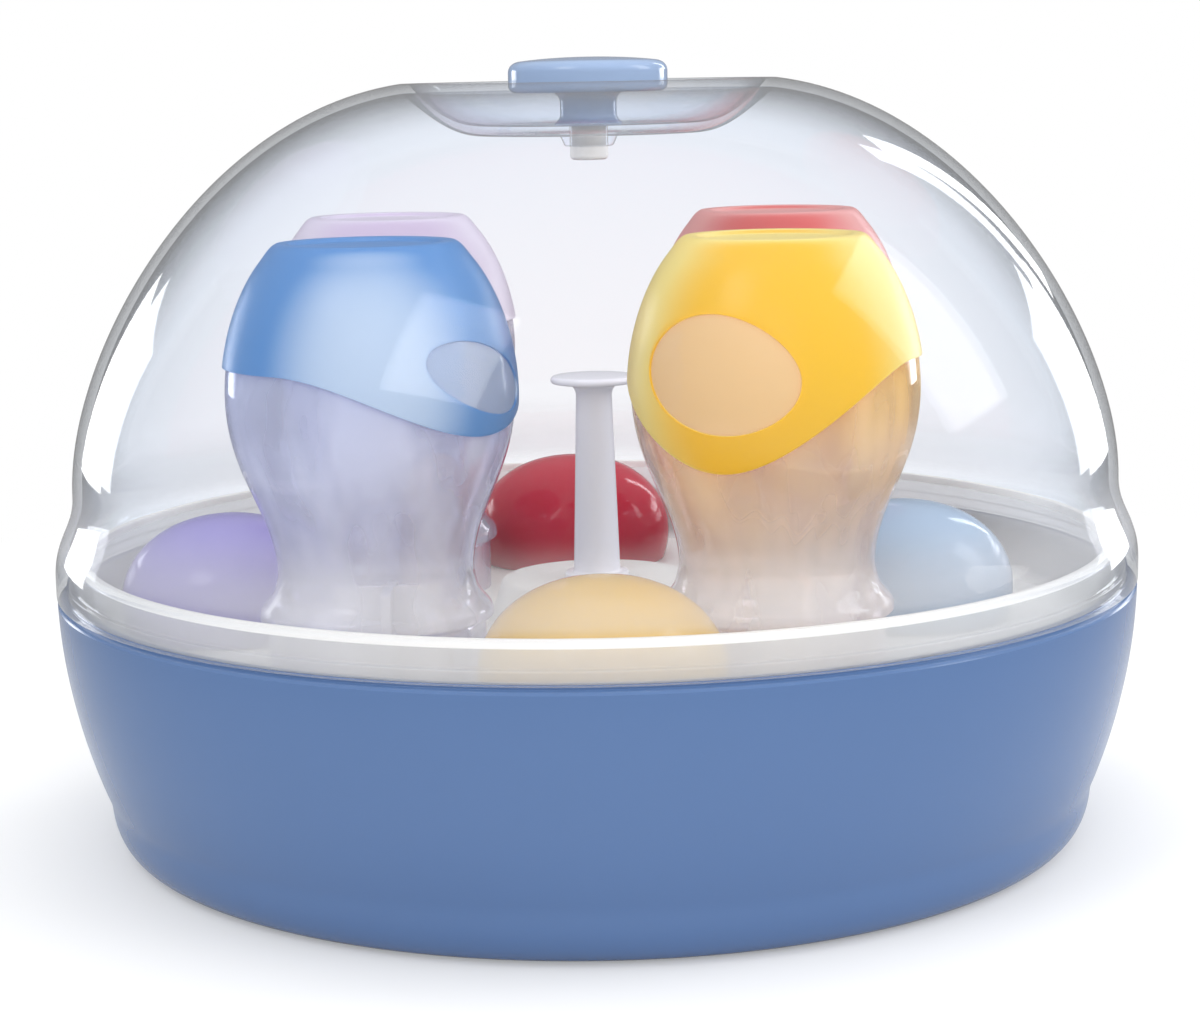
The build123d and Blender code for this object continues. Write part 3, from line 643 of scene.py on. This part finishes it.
def tub_outline():
    """Rack's wall, from the edge of its floor up the inside, over the crest, down to the flange and
    back under the floor."""
    under = FLOOR_Z - FLOOR_T
    low_r = TUB_R - 1.2
    return [(TUB_FLOOR_R, FLOOR_Z), (low_r - 0.2, FLOOR_Z + 1.8, 1.2), (TUB_R, CREST_Z - 0.9),
            (TUB_R + 0.3, CREST_Z - 0.25), (TUB_R + TUB_WALL / 2, CREST_Z),
            (TUB_R + TUB_WALL - 0.3, CREST_Z - 0.25), (TUB_R + TUB_WALL, CREST_Z - 0.9),
            (FLANGE_FOOT_R, FLANGE_TOP_Z, 0.5), (FLANGE_R, FLANGE_TOP_Z, 0.5), (FLANGE_R, RIM_Z, 0.3),
            (TUB_R + TUB_WALL - 0.4, RIM_Z, 0.3), (low_r + FLOOR_T, under + FLOOR_T, 0.8), (low_r, under)]


def platform_outline():
    """Raised middle of the rack, from its upper foot over the socket to its lower foot."""
    return [(PLATFORM_FOOT_R, FLOOR_Z), (PLATFORM_R, PLATFORM_Z, 1.2), (SOCKET_R, PLATFORM_Z, 0.2),
            (SOCKET_R, PLATFORM_Z - FLOOR_T, 0.2), (PLATFORM_R - FLOOR_T, PLATFORM_Z - FLOOR_T, 0.8),
            (PLATFORM_FOOT_R - FLOOR_T, FLOOR_Z - FLOOR_T)]


def post_outline():
    """Tapered pillar with a collar, flared into a thumb disc with a crowned top."""
    under = POST_TOP_Z - POST_DISC_T
    neck = (POST_NECK_R, under - 3)
    disc, edge = (POST_DISC_R - 0.8, under), (POST_DISC_R - 0.9, POST_TOP_Z - 0.4)
    return (
        [(0, PLATFORM_Z - 6), (SOCKET_R - 1.2, PLATFORM_Z - 6, 0.3), (SOCKET_R - 0.1, PLATFORM_Z - 4),
         (SOCKET_R - 0.1, PLATFORM_Z), (COLLAR_R, PLATFORM_Z, 0.2), (COLLAR_R, PLATFORM_Z + COLLAR_T, 0.7),
         (POST_FOOT_R, PLATFORM_Z + COLLAR_T, 0.6)]
        + curve(neck, (POST_NECK_R + 0.2, under - 1), (POST_NECK_R + 1.6, under),
                (POST_NECK_R + 3.4, under), 10)
        + curve(disc, (POST_DISC_R + 0.3, under), (POST_DISC_R + 0.1, POST_TOP_Z - 0.5), edge, 10)
        + curve(edge, (POST_DISC_R - 4, POST_TOP_Z - 0.05), (3, POST_TOP_Z), (0, POST_TOP_Z), 8)[1:]
    )


def dome_outline(wall):
    """Lid's shell from the edge of the well floor's upper face, over the flat, down the dome and the
    flared skirt, and up the inside to the edge of the well floor's lower face."""
    lower_floor, ledge = WELL_FLOOR_Z - wall, FLANGE_R + 0.4
    lip, inner_waist = (WELL_R, LID_TOP_Z - 0.9), (WAIST_R - wall, WAIST_Z)
    inner_flat = LID_TOP_Z - wall
    inner_lip = (WELL_R + 2.6, inner_flat)
    return (
        curve((WELL_FLOOR_R, WELL_FLOOR_Z), (WELL_FLOOR_R + 8, WELL_FLOOR_Z), (WELL_R - 3.0, LID_TOP_Z - 4.5),
              lip, 20)
        + curve(lip, (WELL_R + 0.4, LID_TOP_Z - 0.3), (WELL_R + 0.8, LID_TOP_Z), (WELL_R + 1.4, LID_TOP_Z),
                6)[1:]
        + curve((LID_FLAT_R, LID_TOP_Z), (96.4, 180.6), (WAIST_R, 122.9), (WAIST_R, WAIST_Z), 56)
        + curve((WAIST_R, WAIST_Z), (WAIST_R, WAIST_Z - 9), (SKIRT_R, SKIRT_TOP_Z + 9),
                (SKIRT_R, SKIRT_TOP_Z), 20)[1:]
        + [(SKIRT_R, LID_EDGE_Z, 0.5), (ledge, LID_EDGE_Z, 0.3), (ledge, FLANGE_TOP_Z, 0.2),
           (LEDGE_R, FLANGE_TOP_Z, 0.2), (LEDGE_R, LEDGE_TOP_Z, 0.4)]
        + curve((LEDGE_R + 0.7, LEDGE_TOP_Z + 1.2), (LEDGE_R, LEDGE_TOP_Z + 7), (WAIST_R - wall, WAIST_Z - 7),
                inner_waist, 16)
        + curve(inner_waist, (WAIST_R - wall, 121.7), (95.4, 178.4), inner_lip, 52)[1:]
        + curve(inner_lip, (WELL_R - 4, inner_flat - 5.5), (WELL_FLOOR_R + 7, lower_floor),
                (WELL_FLOOR_R, lower_floor), 18)[1:]
    )


def funnel_outline(wall):
    """Funnel under the well that grips the knob's plug, from the lower face's hole to the upper's."""
    lower_floor = WELL_FLOOR_Z - wall
    return [(FUNNEL_TOP_R, lower_floor), (FUNNEL_R, FUNNEL_Z, 0.3), (PLUG_R + FIT, FUNNEL_Z, 0.2),
            (PLUG_R + FIT, WELL_FLOOR_Z)]


def knob_outline():
    """Crowned head with a rounded rim, stem and spigot."""
    shoulder = KNOB_TOP_Z - KNOB_CROWN
    crown = (KNOB_R - 3.0, shoulder)
    return (
        [(0, SPIGOT_END_Z), (SPIGOT_R, SPIGOT_END_Z, 0.4), (SPIGOT_R, WELL_FLOOR_Z, 0.2),
         (KNOB_STEM_R + 1.6, WELL_FLOOR_Z, 0.3), (KNOB_STEM_R, WELL_FLOOR_Z + 1.6, 0.8),
         (KNOB_STEM_R, KNOB_UNDER_Z - 1.5, 0.8), (KNOB_STEM_R + 1.5, KNOB_UNDER_Z, 0.8)]
        + curve((KNOB_R - 1.8, KNOB_UNDER_Z), (KNOB_R - 0.8, KNOB_UNDER_Z), (KNOB_R, KNOB_UNDER_Z + 0.8),
                (KNOB_R, KNOB_UNDER_Z + 1.8), 9)
        + curve((KNOB_R, shoulder - 2.8), (KNOB_R, shoulder - 1.1), (KNOB_R - 1.4, shoulder - 0.15),
                crown, 12)
        + curve(crown, (KNOB_R - 8, KNOB_TOP_Z - 0.3), (6, KNOB_TOP_Z), (0, KNOB_TOP_Z), 10)[1:]
    )


def plug_outline():
    bore = SPIGOT_R + FIT
    top = WELL_FLOOR_Z - FIT
    bottom = SPIGOT_END_Z - FIT
    return [(0, PLUG_END_Z), (PLUG_R, PLUG_END_Z, 1.0), (PLUG_R, top, 0.2), (bore, top, 0.2),
            (bore, bottom, 0.2), (0, bottom)]


def bottle_side(grow, top):
    """Bottle's side from its waist up to the rim of its base, thicker by grow."""
    z = FLOOR_Z
    waist = (BOTTLE_WAIST_R + grow, z + BOTTLE_WAIST_Z)
    belly = (BELLY_R + grow, z + BELLY_Z)
    shoulder = (SHOULDER_R + grow, z + BOTTLE_SHOULDER_Z)
    rim = (BASE_R - 1.4 + grow, top)
    return (
        curve(waist, (waist[0], waist[1] + 15.0), (belly[0], belly[1] - 19.0), belly, 30)
        + curve(belly, (belly[0], belly[1] + 11.5), (shoulder[0] + 5.8, shoulder[1] - 7.25), shoulder, 24)[1:]
        + curve(shoulder, (shoulder[0] - 1.3, shoulder[1] + 1.6), (rim[0] + 1.5, rim[1] - 0.5), rim, 8)[1:]
    )


def bottle_outline(wall):
    """Double wall from the middle of the base down the outside to the mouth and up the inside."""
    z = FLOOR_Z
    top = z + BOTTLE_H - sizes().skin / MM
    base = top - BASE_DISH
    outer = bottle_side(0, top)[::-1]
    inner = bottle_side(-wall, top - wall)
    neck = [(BOTTLE_WAIST_R + 1.2, z + BEAD_Z + 3.4, 1.5), (BEAD_R - 0.3, z + BEAD_Z, 0.8),
            (BEAD_R, z + BEAD_Z - 2.4, 0.5), (MOUTH_R, z + BEAD_Z - 3.6, 0.4), (MOUTH_R, z, 0.4),
            (BORE_R, z, 0.4), (BORE_R, z + BEAD_Z, 2.0)]
    dish = [(BASE_R - 4, base, 0.4), (0, base)]
    return dish[::-1] + [(BASE_R - 3, top, 0.4)] + outer + neck + inner + [(0, base - wall)]


def cap_outline(wall):
    z, top, wide = FLOOR_Z, FLOOR_Z + CAP_H, FLOOR_Z + CAP_WIDEST_Z
    inner_r, inner_top = CAP_R - wall, top - wall
    return (
        curve((0, top), (CAP_R * 0.6, top), (CAP_R, wide + 12), (CAP_R, wide), 26)
        + curve((CAP_R, wide), (CAP_R, wide - 3), (CAP_FOOT_R + 0.8, z + 2.5), (CAP_FOOT_R, z), 8)[1:-1]
        + [(CAP_FOOT_R, z, 0.4), (CAP_FOOT_R - wall, z, 0.4)]
        + curve((CAP_FOOT_R - wall, z), (CAP_FOOT_R - wall + 0.8, z + 2.5), (inner_r, wide - 3),
                (inner_r, wide), 8)[1:]
        + curve((inner_r, wide), (inner_r, wide + 11.5), (inner_r * 0.6, inner_top), (0, inner_top), 22)[1:]
    )


# Operators, one for each piece or group of like pieces

class Piece:
    """What the operators share."""

    bl_options = {"REGISTER", "UNDO"}


class STERILISER_OT_bowl(Piece, bpy.types.Operator):
    """Build the blue bowl that holds the water"""

    bl_idname = "steriliser.bowl"
    bl_label = "Bowl"

    def execute(self, context):
        bm = lathe(bowl_outline(sizes().bowl_wall / MM), sizes().turns)
        place(bm, "bowl_moulding", "base_bowl", "bowl", [bowl_plastic()])
        return {"FINISHED"}


def steam_holes():
    """Round holes beside each peg and along the wall, and a slot on each side of the raised middle."""
    found = []
    for quarter in range(4):
        ahead = quarter * pi / 2
        spots = [polar(PEG_HOLE_PITCH_R, ahead + radians(turn), centre)
                 for centre in PEGS for turn in PEG_HOLE_TURNS]
        spots += [polar(WALL_HOLE_PITCH_R, ahead + radians(turn)) for turn in WALL_HOLE_TURNS]
        found += [{"at": spot, "radius": STEAM_HOLE_R} for spot in spots]
        found.append({"at": polar(SLOT_PITCH_R, ahead), "radius": STEAM_HOLE_R,
                      "stretch": SLOT_LENGTH / 2 - STEAM_HOLE_R, "turn": ahead})
    return found


def peg(x, y):
    """Cross-ribbed peg: a square core with an arm drawn out of each side, its top edges eased."""
    bm = bmesh.new()
    sunk = 0.5
    at = Matrix.Translation((x * MM, y * MM, (FLOOR_Z + PEG_HEIGHT / 2 - sunk / 2) * MM))
    size = Matrix.Diagonal((PEG_RIB * MM, PEG_RIB * MM, (PEG_HEIGHT + sunk) * MM, 1))
    bmesh.ops.create_cube(bm, size=1, matrix=at @ size)
    sides = [face for face in bm.faces if abs(face.normal.z) < 0.5]
    arms = bmesh.ops.extrude_discrete_faces(bm, faces=sides)["faces"]
    for face in arms:
        bmesh.ops.translate(bm, verts=face.verts, vec=face.normal * (PEG_R - PEG_RIB / 2) * MM)
    top = (FLOOR_Z + PEG_HEIGHT) * MM
    ends = [edge for face in arms for edge in face.edges if all(v.co.z > top - 1e-6 for v in edge.verts)]
    ease(bm, ends, 2, 4)
    bmesh.ops.remove_doubles(bm, verts=bm.verts, dist=0.002 * MM)
    crisp = [edge for edge in bm.edges if len(edge.link_faces) == 2 and edge.calc_face_angle(0) > 1.2]
    ease(bm, crisp, 0.25, 2)
    return bm


class STERILISER_OT_rack(Piece, bpy.types.Operator):
    """Build the milky rack: tub, raised middle, pierced floor and four pegs"""

    bl_idname = "steriliser.rack"
    bl_label = "Rack"

    def execute(self, context):
        turns = sizes().turns
        bm = lathe(tub_outline(), turns)
        absorb(bm, lathe(platform_outline(), turns))
        under = FLOOR_Z - FLOOR_T
        pierced_plate(bm, (PLATFORM_FOOT_R - FLOOR_T, PLATFORM_FOOT_R), (TUB_R - 1.2, TUB_FLOOR_R), under,
                      FLOOR_Z, steam_holes(), turns)
        seal(bm)
        for x, y in PEGS:
            absorb(bm, peg(x, y))
        place(bm, "rack_moulding", "rack_tray", "rack", [milky_plastic()])
        return {"FINISHED"}


class STERILISER_OT_post(Piece, bpy.types.Operator):
    """Build the white post that lifts the rack"""

    bl_idname = "steriliser.post"
    bl_label = "Lifting post"

    def execute(self, context):
        place(lathe(post_outline(), 96), "post_moulding", "lift_post", "rack", [acetal()])
        return {"FINISHED"}


class STERILISER_OT_lid(Piece, bpy.types.Operator):
    """Build the clear lid with its finger well, vents and funnel"""

    bl_idname = "steriliser.lid"
    bl_label = "Lid"

    def execute(self, context):
        wall, turns = sizes().lid_wall / MM, sizes().turns
        bm = lathe(dome_outline(wall), turns)
        absorb(bm, lathe(funnel_outline(wall), turns))
        vents = [{"at": polar(VENT_PITCH_R, pi / 2 + k * tau / VENTS), "radius": VENT_R}
                 for k in range(VENTS)]
        pierced_plate(bm, (FUNNEL_TOP_R, PLUG_R + FIT), (WELL_FLOOR_R, WELL_FLOOR_R), WELL_FLOOR_Z - wall,
                      WELL_FLOOR_Z, vents, turns)
        seal(bm)
        place(bm, "lid_moulding", "lid_dome", "lid", [lid_plastic()])
        return {"FINISHED"}


class STERILISER_OT_knob(Piece, bpy.types.Operator):
    """Build the knob and the plug that locks it in the funnel"""

    bl_idname = "steriliser.knob"
    bl_label = "Knob and plug"

    def execute(self, context):
        place(lathe(knob_outline(), 128), "knob_moulding", "lid_knob", "lid", [knob_plastic()])
        place(lathe(plug_outline(), 64), "plug_moulding", "knob_plug", "lid",
              [plug_plastic()])
        return {"FINISHED"}


class STERILISER_OT_bottles(Piece, bpy.types.Operator):
    """Build the four clear bottles"""

    bl_idname = "steriliser.bottles"
    bl_label = "Bottles"

    def execute(self, context):
        for name in BOTTLES:
            node = f"bottle_{name}"
            bm = lathe(bottle_outline(sizes().bottle_wall / MM), 128, middle(node))
            place(bm, f"{name}_bottle_shell", node, f"{name}_bottle",
                  [bottle_plastic(name)])
        return {"FINISHED"}


@cache
def skin_side():
    """Outside of a skin, as (radius, height) from the bottle's waist up."""
    return bottle_side(sizes().skin / MM, FLOOR_Z + BOTTLE_H)


def on_side(a, z, sunk=0.0):
    """Point of a skin's outside, in metres, at an angle from +X and a height, or sunk below it."""
    side = skin_side()
    radius = side[0][0]
    for (r0, z0), (r1, z1) in zip(side, side[1:]):
        if z0 <= z <= z1:
            radius = r0 + (r1 - r0) * (z - z0) / (z1 - z0)
    radius -= sunk
    return Vector((radius * cos(a), radius * sin(a), z)) * MM


def on_window(x, y, turn, tilt, eye_z, sunk=0.0):
    """Point of a window on its skin, from its place across and up the window before it is tilted."""
    lean = radians(tilt)
    x, y = x * cos(lean) - y * sin(lean), x * sin(lean) + y * cos(lean)
    across = asin_safe(x / (BELLY_R + sizes().skin / MM))
    return on_side(radians(turn) + across, FLOOR_Z + eye_z + y, sunk)


def thicken(bm, mm):
    """Gives an open sheet a thickness, inwards from its face."""
    bm.normal_update()
    inside = bmesh.ops.extrude_face_region(bm, geom=bm.faces[:], use_keep_orig=True)["geom"]
    for vert in inside:
        if isinstance(vert, bmesh.types.BMVert):
            vert.co -= vert.normal * mm * MM
    bmesh.ops.recalc_face_normals(bm, faces=bm.faces)


def skin_shell(turn, lobe, window, tilt, eye_z):
    """Coloured skin as one closed shell about the main axis: a lathe whose lower rings are drawn to
    the lobed edge, with an oval window opened in it."""
    skin = sizes().skin / MM
    top = FLOOR_Z + BOTTLE_H
    base = top - BASE_DISH
    side = skin_side()
    edge_z, start_z, eye = FLOOR_Z + SKIN_EDGE_Z, FLOOR_Z + BOTTLE_SHOULDER_Z, FLOOR_Z + eye_z
    reach_r = BELLY_R + skin
    facing = radians(turn)
    rows, columns = 48, 160

    def lowest(a):
        """Height of the skin's edge: level behind, and in front a parabola about the window."""
        return edge_z - lobe * max(0.0, cos(a)) ** 2

    lines = [edge_z + (start_z - edge_z) * (1 - k / rows) for k in range(1, rows + 1)]
    upper = [(r, z) for r, z in side if z >= start_z - 0.01][::-1]
    bm = lathe([(0, base), (BASE_R - 4, base, 0.4), (BASE_R - 3, top, 0.4)] + upper
               + [(on_side(0, z).x / MM, z) for z in lines], columns)
    bmesh.ops.rotate(bm, cent=(0, 0, 0), matrix=Matrix.Rotation(facing, 3, "Z"), verts=bm.verts)

    half_w, half_h = window
    lean = radians(tilt)
    wide = sqrt((half_w * cos(lean)) ** 2 + (half_h * sin(lean)) ** 2) + 2.0
    high = sqrt((half_w * sin(lean)) ** 2 + (half_h * cos(lean)) ** 2) + 1.6
    half_turn = asin_safe(wide / reach_r)
    deepest = start_z - lowest(0)
    share_top, share_end = (start_z - eye - high) / deepest, (start_z - eye + high) / deepest
    block = []
    for face in bm.faces:
        middle_at = face.calc_center_median() / MM
        share = (start_z - middle_at.z) / (start_z - edge_z)
        across = angle_between(atan2(middle_at.y, middle_at.x), facing)
        if share_top < share < share_end and abs(across) < half_turn:
            block.append(face)
    bmesh.ops.delete(bm, geom=block, context="FACES")
    frame_edges = [edge for edge in bm.edges if edge.is_boundary
                   and all(vert.co.z / MM > edge_z + 0.01 for vert in edge.verts)]
    for vert in bm.verts:
        z = vert.co.z / MM
        if z < start_z - 0.01:
            a = angle_between(atan2(vert.co.y, vert.co.x), facing)
            share = (start_z - z) / (start_z - edge_z)
            vert.co = on_side(facing + a, start_z - share * (start_z - lowest(a)))
    oval = bmesh.ops.create_circle(bm, radius=1, segments=len(frame_edges))["verts"]
    for vert in oval:
        vert.co = on_window(vert.co.x * half_w, vert.co.y * half_h, turn, tilt, eye_z)
    oval_edges = list({edge for vert in oval for edge in vert.link_edges})
    bridge = bmesh.ops.bridge_loops(bm, edges=frame_edges + oval_edges)
    spokes = [edge for edge in bridge["edges"] if edge not in frame_edges and edge not in oval_edges]
    bmesh.ops.subdivide_edges(bm, edges=spokes, cuts=4, use_grid_fill=True)
    for vert in bm.verts:
        z = vert.co.z / MM
        if z < start_z - 0.01:
            vert.co = on_side(atan2(vert.co.y, vert.co.x), z)
    bmesh.ops.recalc_face_normals(bm, faces=bm.faces)
    thicken(bm, skin - SKIN_GAP)
    rim = [edge for edge in bm.edges if len(edge.link_faces) == 2 and edge.calc_face_angle(0) > 1.1]
    ease(bm, rim, 0.22, 2)
    return bm


def window_pane(turn, lobe, window, tilt, eye_z):
    """Thin part of the skin inside its window: an oval sheet, sunk below the rim."""
    half_w, half_h = window
    rings = 8
    bm = lathe([(half_w * k / rings, 0) for k in range(rings + 1)], 72)
    for vert in bm.verts:
        x, y = vert.co.x / MM, vert.co.y / MM * half_h / half_w
        vert.co = on_window(x, y, turn, tilt, eye_z, WINDOW_SUNK)
    bm.normal_update()
    for face in bm.faces:
        face.material_index = 1
        if face.normal.dot(face.calc_center_median() * Vector((1, 1, 0))) < 0:
            face.normal_flip()
    thicken(bm, WINDOW_T)
    return bm


def asin_safe(x):
    """Arc sine through atan2, so that it lives with rounding."""
    return atan2(x, sqrt(max(0.0, 1 - x * x)))


def angle_between(a, b):
    """How far angle a lies from angle b, from minus a half turn to a half turn."""
    return (a - b + pi) % tau - pi


class STERILISER_OT_skins(Piece, bpy.types.Operator):
    """Build the coloured skins with their lobed edges and oval windows"""

    bl_idname = "steriliser.skins"
    bl_label = "Bottle skins"

    def execute(self, context):
        for name in BOTTLES:
            bm = skin_shell(**SKINS[name])
            absorb(bm, window_pane(**SKINS[name]))
            x, y = middle(f"bottle_{name}")
            bmesh.ops.translate(bm, vec=(x, y, 0), verts=bm.verts)
            place(bm, f"{name}_bottle_skin", f"skin_{name}", f"{name}_bottle",
                  [skin_plastic(name), pane_plastic(name)])
        return {"FINISHED"}


class STERILISER_OT_caps(Piece, bpy.types.Operator):
    """Build the four domed caps"""

    bl_idname = "steriliser.caps"
    bl_label = "Bottle caps"

    def execute(self, context):
        for name in CAPS:
            node = f"cap_{name}"
            bm = lathe(cap_outline(sizes().cap_wall / MM), 112, middle(node))
            place(bm, f"{name}_cap_shell", node, f"{name}_cap", [cap_plastic(name)])
        return {"FINISHED"}


def softbox(name, azimuth, elevation, distance, size, strength, mirrored=True):
    """Rectangular lamp that faces the object, at angles in degrees from the front and from level. Its
    strength is the brightness of its face, white being 1. mirrored lets gloss show it."""
    lamp = bpy.data.lights.new(name, "AREA")
    lamp.shape = "RECTANGLE"
    lamp.size, lamp.size_y = size
    lamp.energy = strength * pi * size[0] * size[1]
    a, e = radians(azimuth), radians(elevation)
    out = Vector((sin(a) * cos(e), -cos(a) * cos(e), sin(e)))
    lamp_object = bpy.data.objects.new(name, lamp)
    lamp_object.location = Vector((0, 0, LAMPS_AIM_Z)) + out * distance
    lamp_object.rotation_euler = out.to_track_quat("Z", "Y").to_euler()
    lamp_object.visible_camera = False
    lamp_object.visible_glossy = mirrored
    lamp_object.visible_transmission = mirrored
    bpy.context.scene.collection.objects.link(lamp_object)


class STERILISER_OT_stage(Piece, bpy.types.Operator):
    """Set up the pale floor, the studio lamps, the white background and the camera"""

    bl_idname = "steriliser.stage"
    bl_label = "Studio"

    def execute(self, context):
        scene = context.scene
        bm = bmesh.new()
        bmesh.ops.create_circle(bm, cap_ends=True, radius=6.0, segments=96)
        mesh = bpy.data.meshes.new("floor")
        bm.to_mesh(mesh)
        bm.free()
        mesh.materials.append(studio_floor())
        floor = bpy.data.objects.new("floor", mesh)
        scene.collection.objects.link(floor)

        world = bpy.data.worlds.new("studio")
        world.use_nodes = True
        scene.world = world
        tree = world.node_tree
        tree.nodes.clear()
        out = tree.nodes.new("ShaderNodeOutputWorld")
        fill = add(tree, "ShaderNodeBackground", {"Color": (0.985, 0.99, 1.0, 1.0), "Strength": 0.74})
        way = add(tree, "ShaderNodeTexCoord").outputs["Generated"]
        up = add(tree, "ShaderNodeSeparateXYZ", {0: way}).outputs["Z"]
        room = add(tree, "ShaderNodeMapRange", {"Value": up, "From Min": 0.3, "From Max": 0.9, "To Min": 0.32,
                                                "To Max": 0.9})
        level = add(tree, "ShaderNodeMix", {"Factor": rays(tree, "Is Glossy Ray"), "A": 1.0, "B": room})
        white = add(tree, "ShaderNodeBackground", {"Color": WHITE, "Strength": level})
        shown = rays(tree, "Is Camera Ray", "Is Glossy Ray", "Is Transmission Ray")
        both = add(tree, "ShaderNodeMixShader", {0: shown, 1: fill, 2: white})
        tree.links.new(both.outputs[0], out.inputs["Surface"])

        softbox("overhead", 0, 90, 1.5, (1.2, 1.2), 1.8, mirrored=False)
        softbox("front_fill", -3, 24, 1.6, (0.8, 0.8), 3.1, mirrored=False)
        softbox("right_fill", 62, 28, 1.6, (0.7, 0.8), 2.4, mirrored=False)
        softbox("high_left", -40, 46, 1.4, (0.5, 0.5), 3.4)
        softbox("side_right", 92, 32, 1.4, (0.5, 0.8), 3.2)
        for side in (-1, 1):
            softbox("low_back", side * 134, 2.5, 1.2, (0.34, 0.5), 5.0)
        softbox("tall_back", 147, 21, 1.3, (0.1, 0.6), 5.0)

        camera = bpy.data.cameras.new("camera")
        camera.lens, camera.sensor_width = LENS, SENSOR
        camera.sensor_fit = "HORIZONTAL"
        camera.clip_start = 0.01
        viewer = bpy.data.objects.new("camera", camera)
        viewer.matrix_world = (Matrix.Translation(CAMERA_AT) @ Matrix.Rotation(pi / 2 - CAMERA_DOWN, 4, "X")
                               @ Matrix.Rotation(CAMERA_ROLL, 4, "Z"))
        scene.collection.objects.link(viewer)
        scene.camera = viewer
        scene.view_settings.view_transform = "Standard"
        return {"FINISHED"}


OPERATORS = (STERILISER_OT_stage, STERILISER_OT_bowl, STERILISER_OT_rack, STERILISER_OT_post,
             STERILISER_OT_lid, STERILISER_OT_knob, STERILISER_OT_bottles, STERILISER_OT_skins,
             STERILISER_OT_caps)


class STERILISER_PT_build(bpy.types.Panel):
    """Buttons for the pieces, with the sizes and colours they use"""

    bl_idname = "STERILISER_PT_build"
    bl_label = "Steriliser"
    bl_space_type = "VIEW_3D"
    bl_region_type = "UI"
    bl_category = "Steriliser"

    def draw(self, context):
        for group in (context.scene.steriliser_sizes, context.scene.steriliser_colours):
            box = self.layout.box()
            for name in group.bl_rna.properties.keys():
                if name not in ("rna_type", "name"):
                    box.prop(group, name)
        for operator in OPERATORS:
            self.layout.operator(operator.bl_idname)


CLASSES = (SteriliserSizes, SteriliserColours, *OPERATORS, STERILISER_PT_build)


def register():
    for each in CLASSES:
        bpy.utils.register_class(each)
    bpy.types.Scene.steriliser_sizes = PointerProperty(type=SteriliserSizes)
    bpy.types.Scene.steriliser_colours = PointerProperty(type=SteriliserColours)


def unregister():
    del bpy.types.Scene.steriliser_colours
    del bpy.types.Scene.steriliser_sizes
    for each in reversed(CLASSES):
        bpy.utils.unregister_class(each)


def main():
    """Builds the stage and every piece."""
    register()
    for operator in OPERATORS:
        family, name = operator.bl_idname.split(".")
        getattr(getattr(bpy.ops, family), name)()


if __name__ == "__main__":
    main()
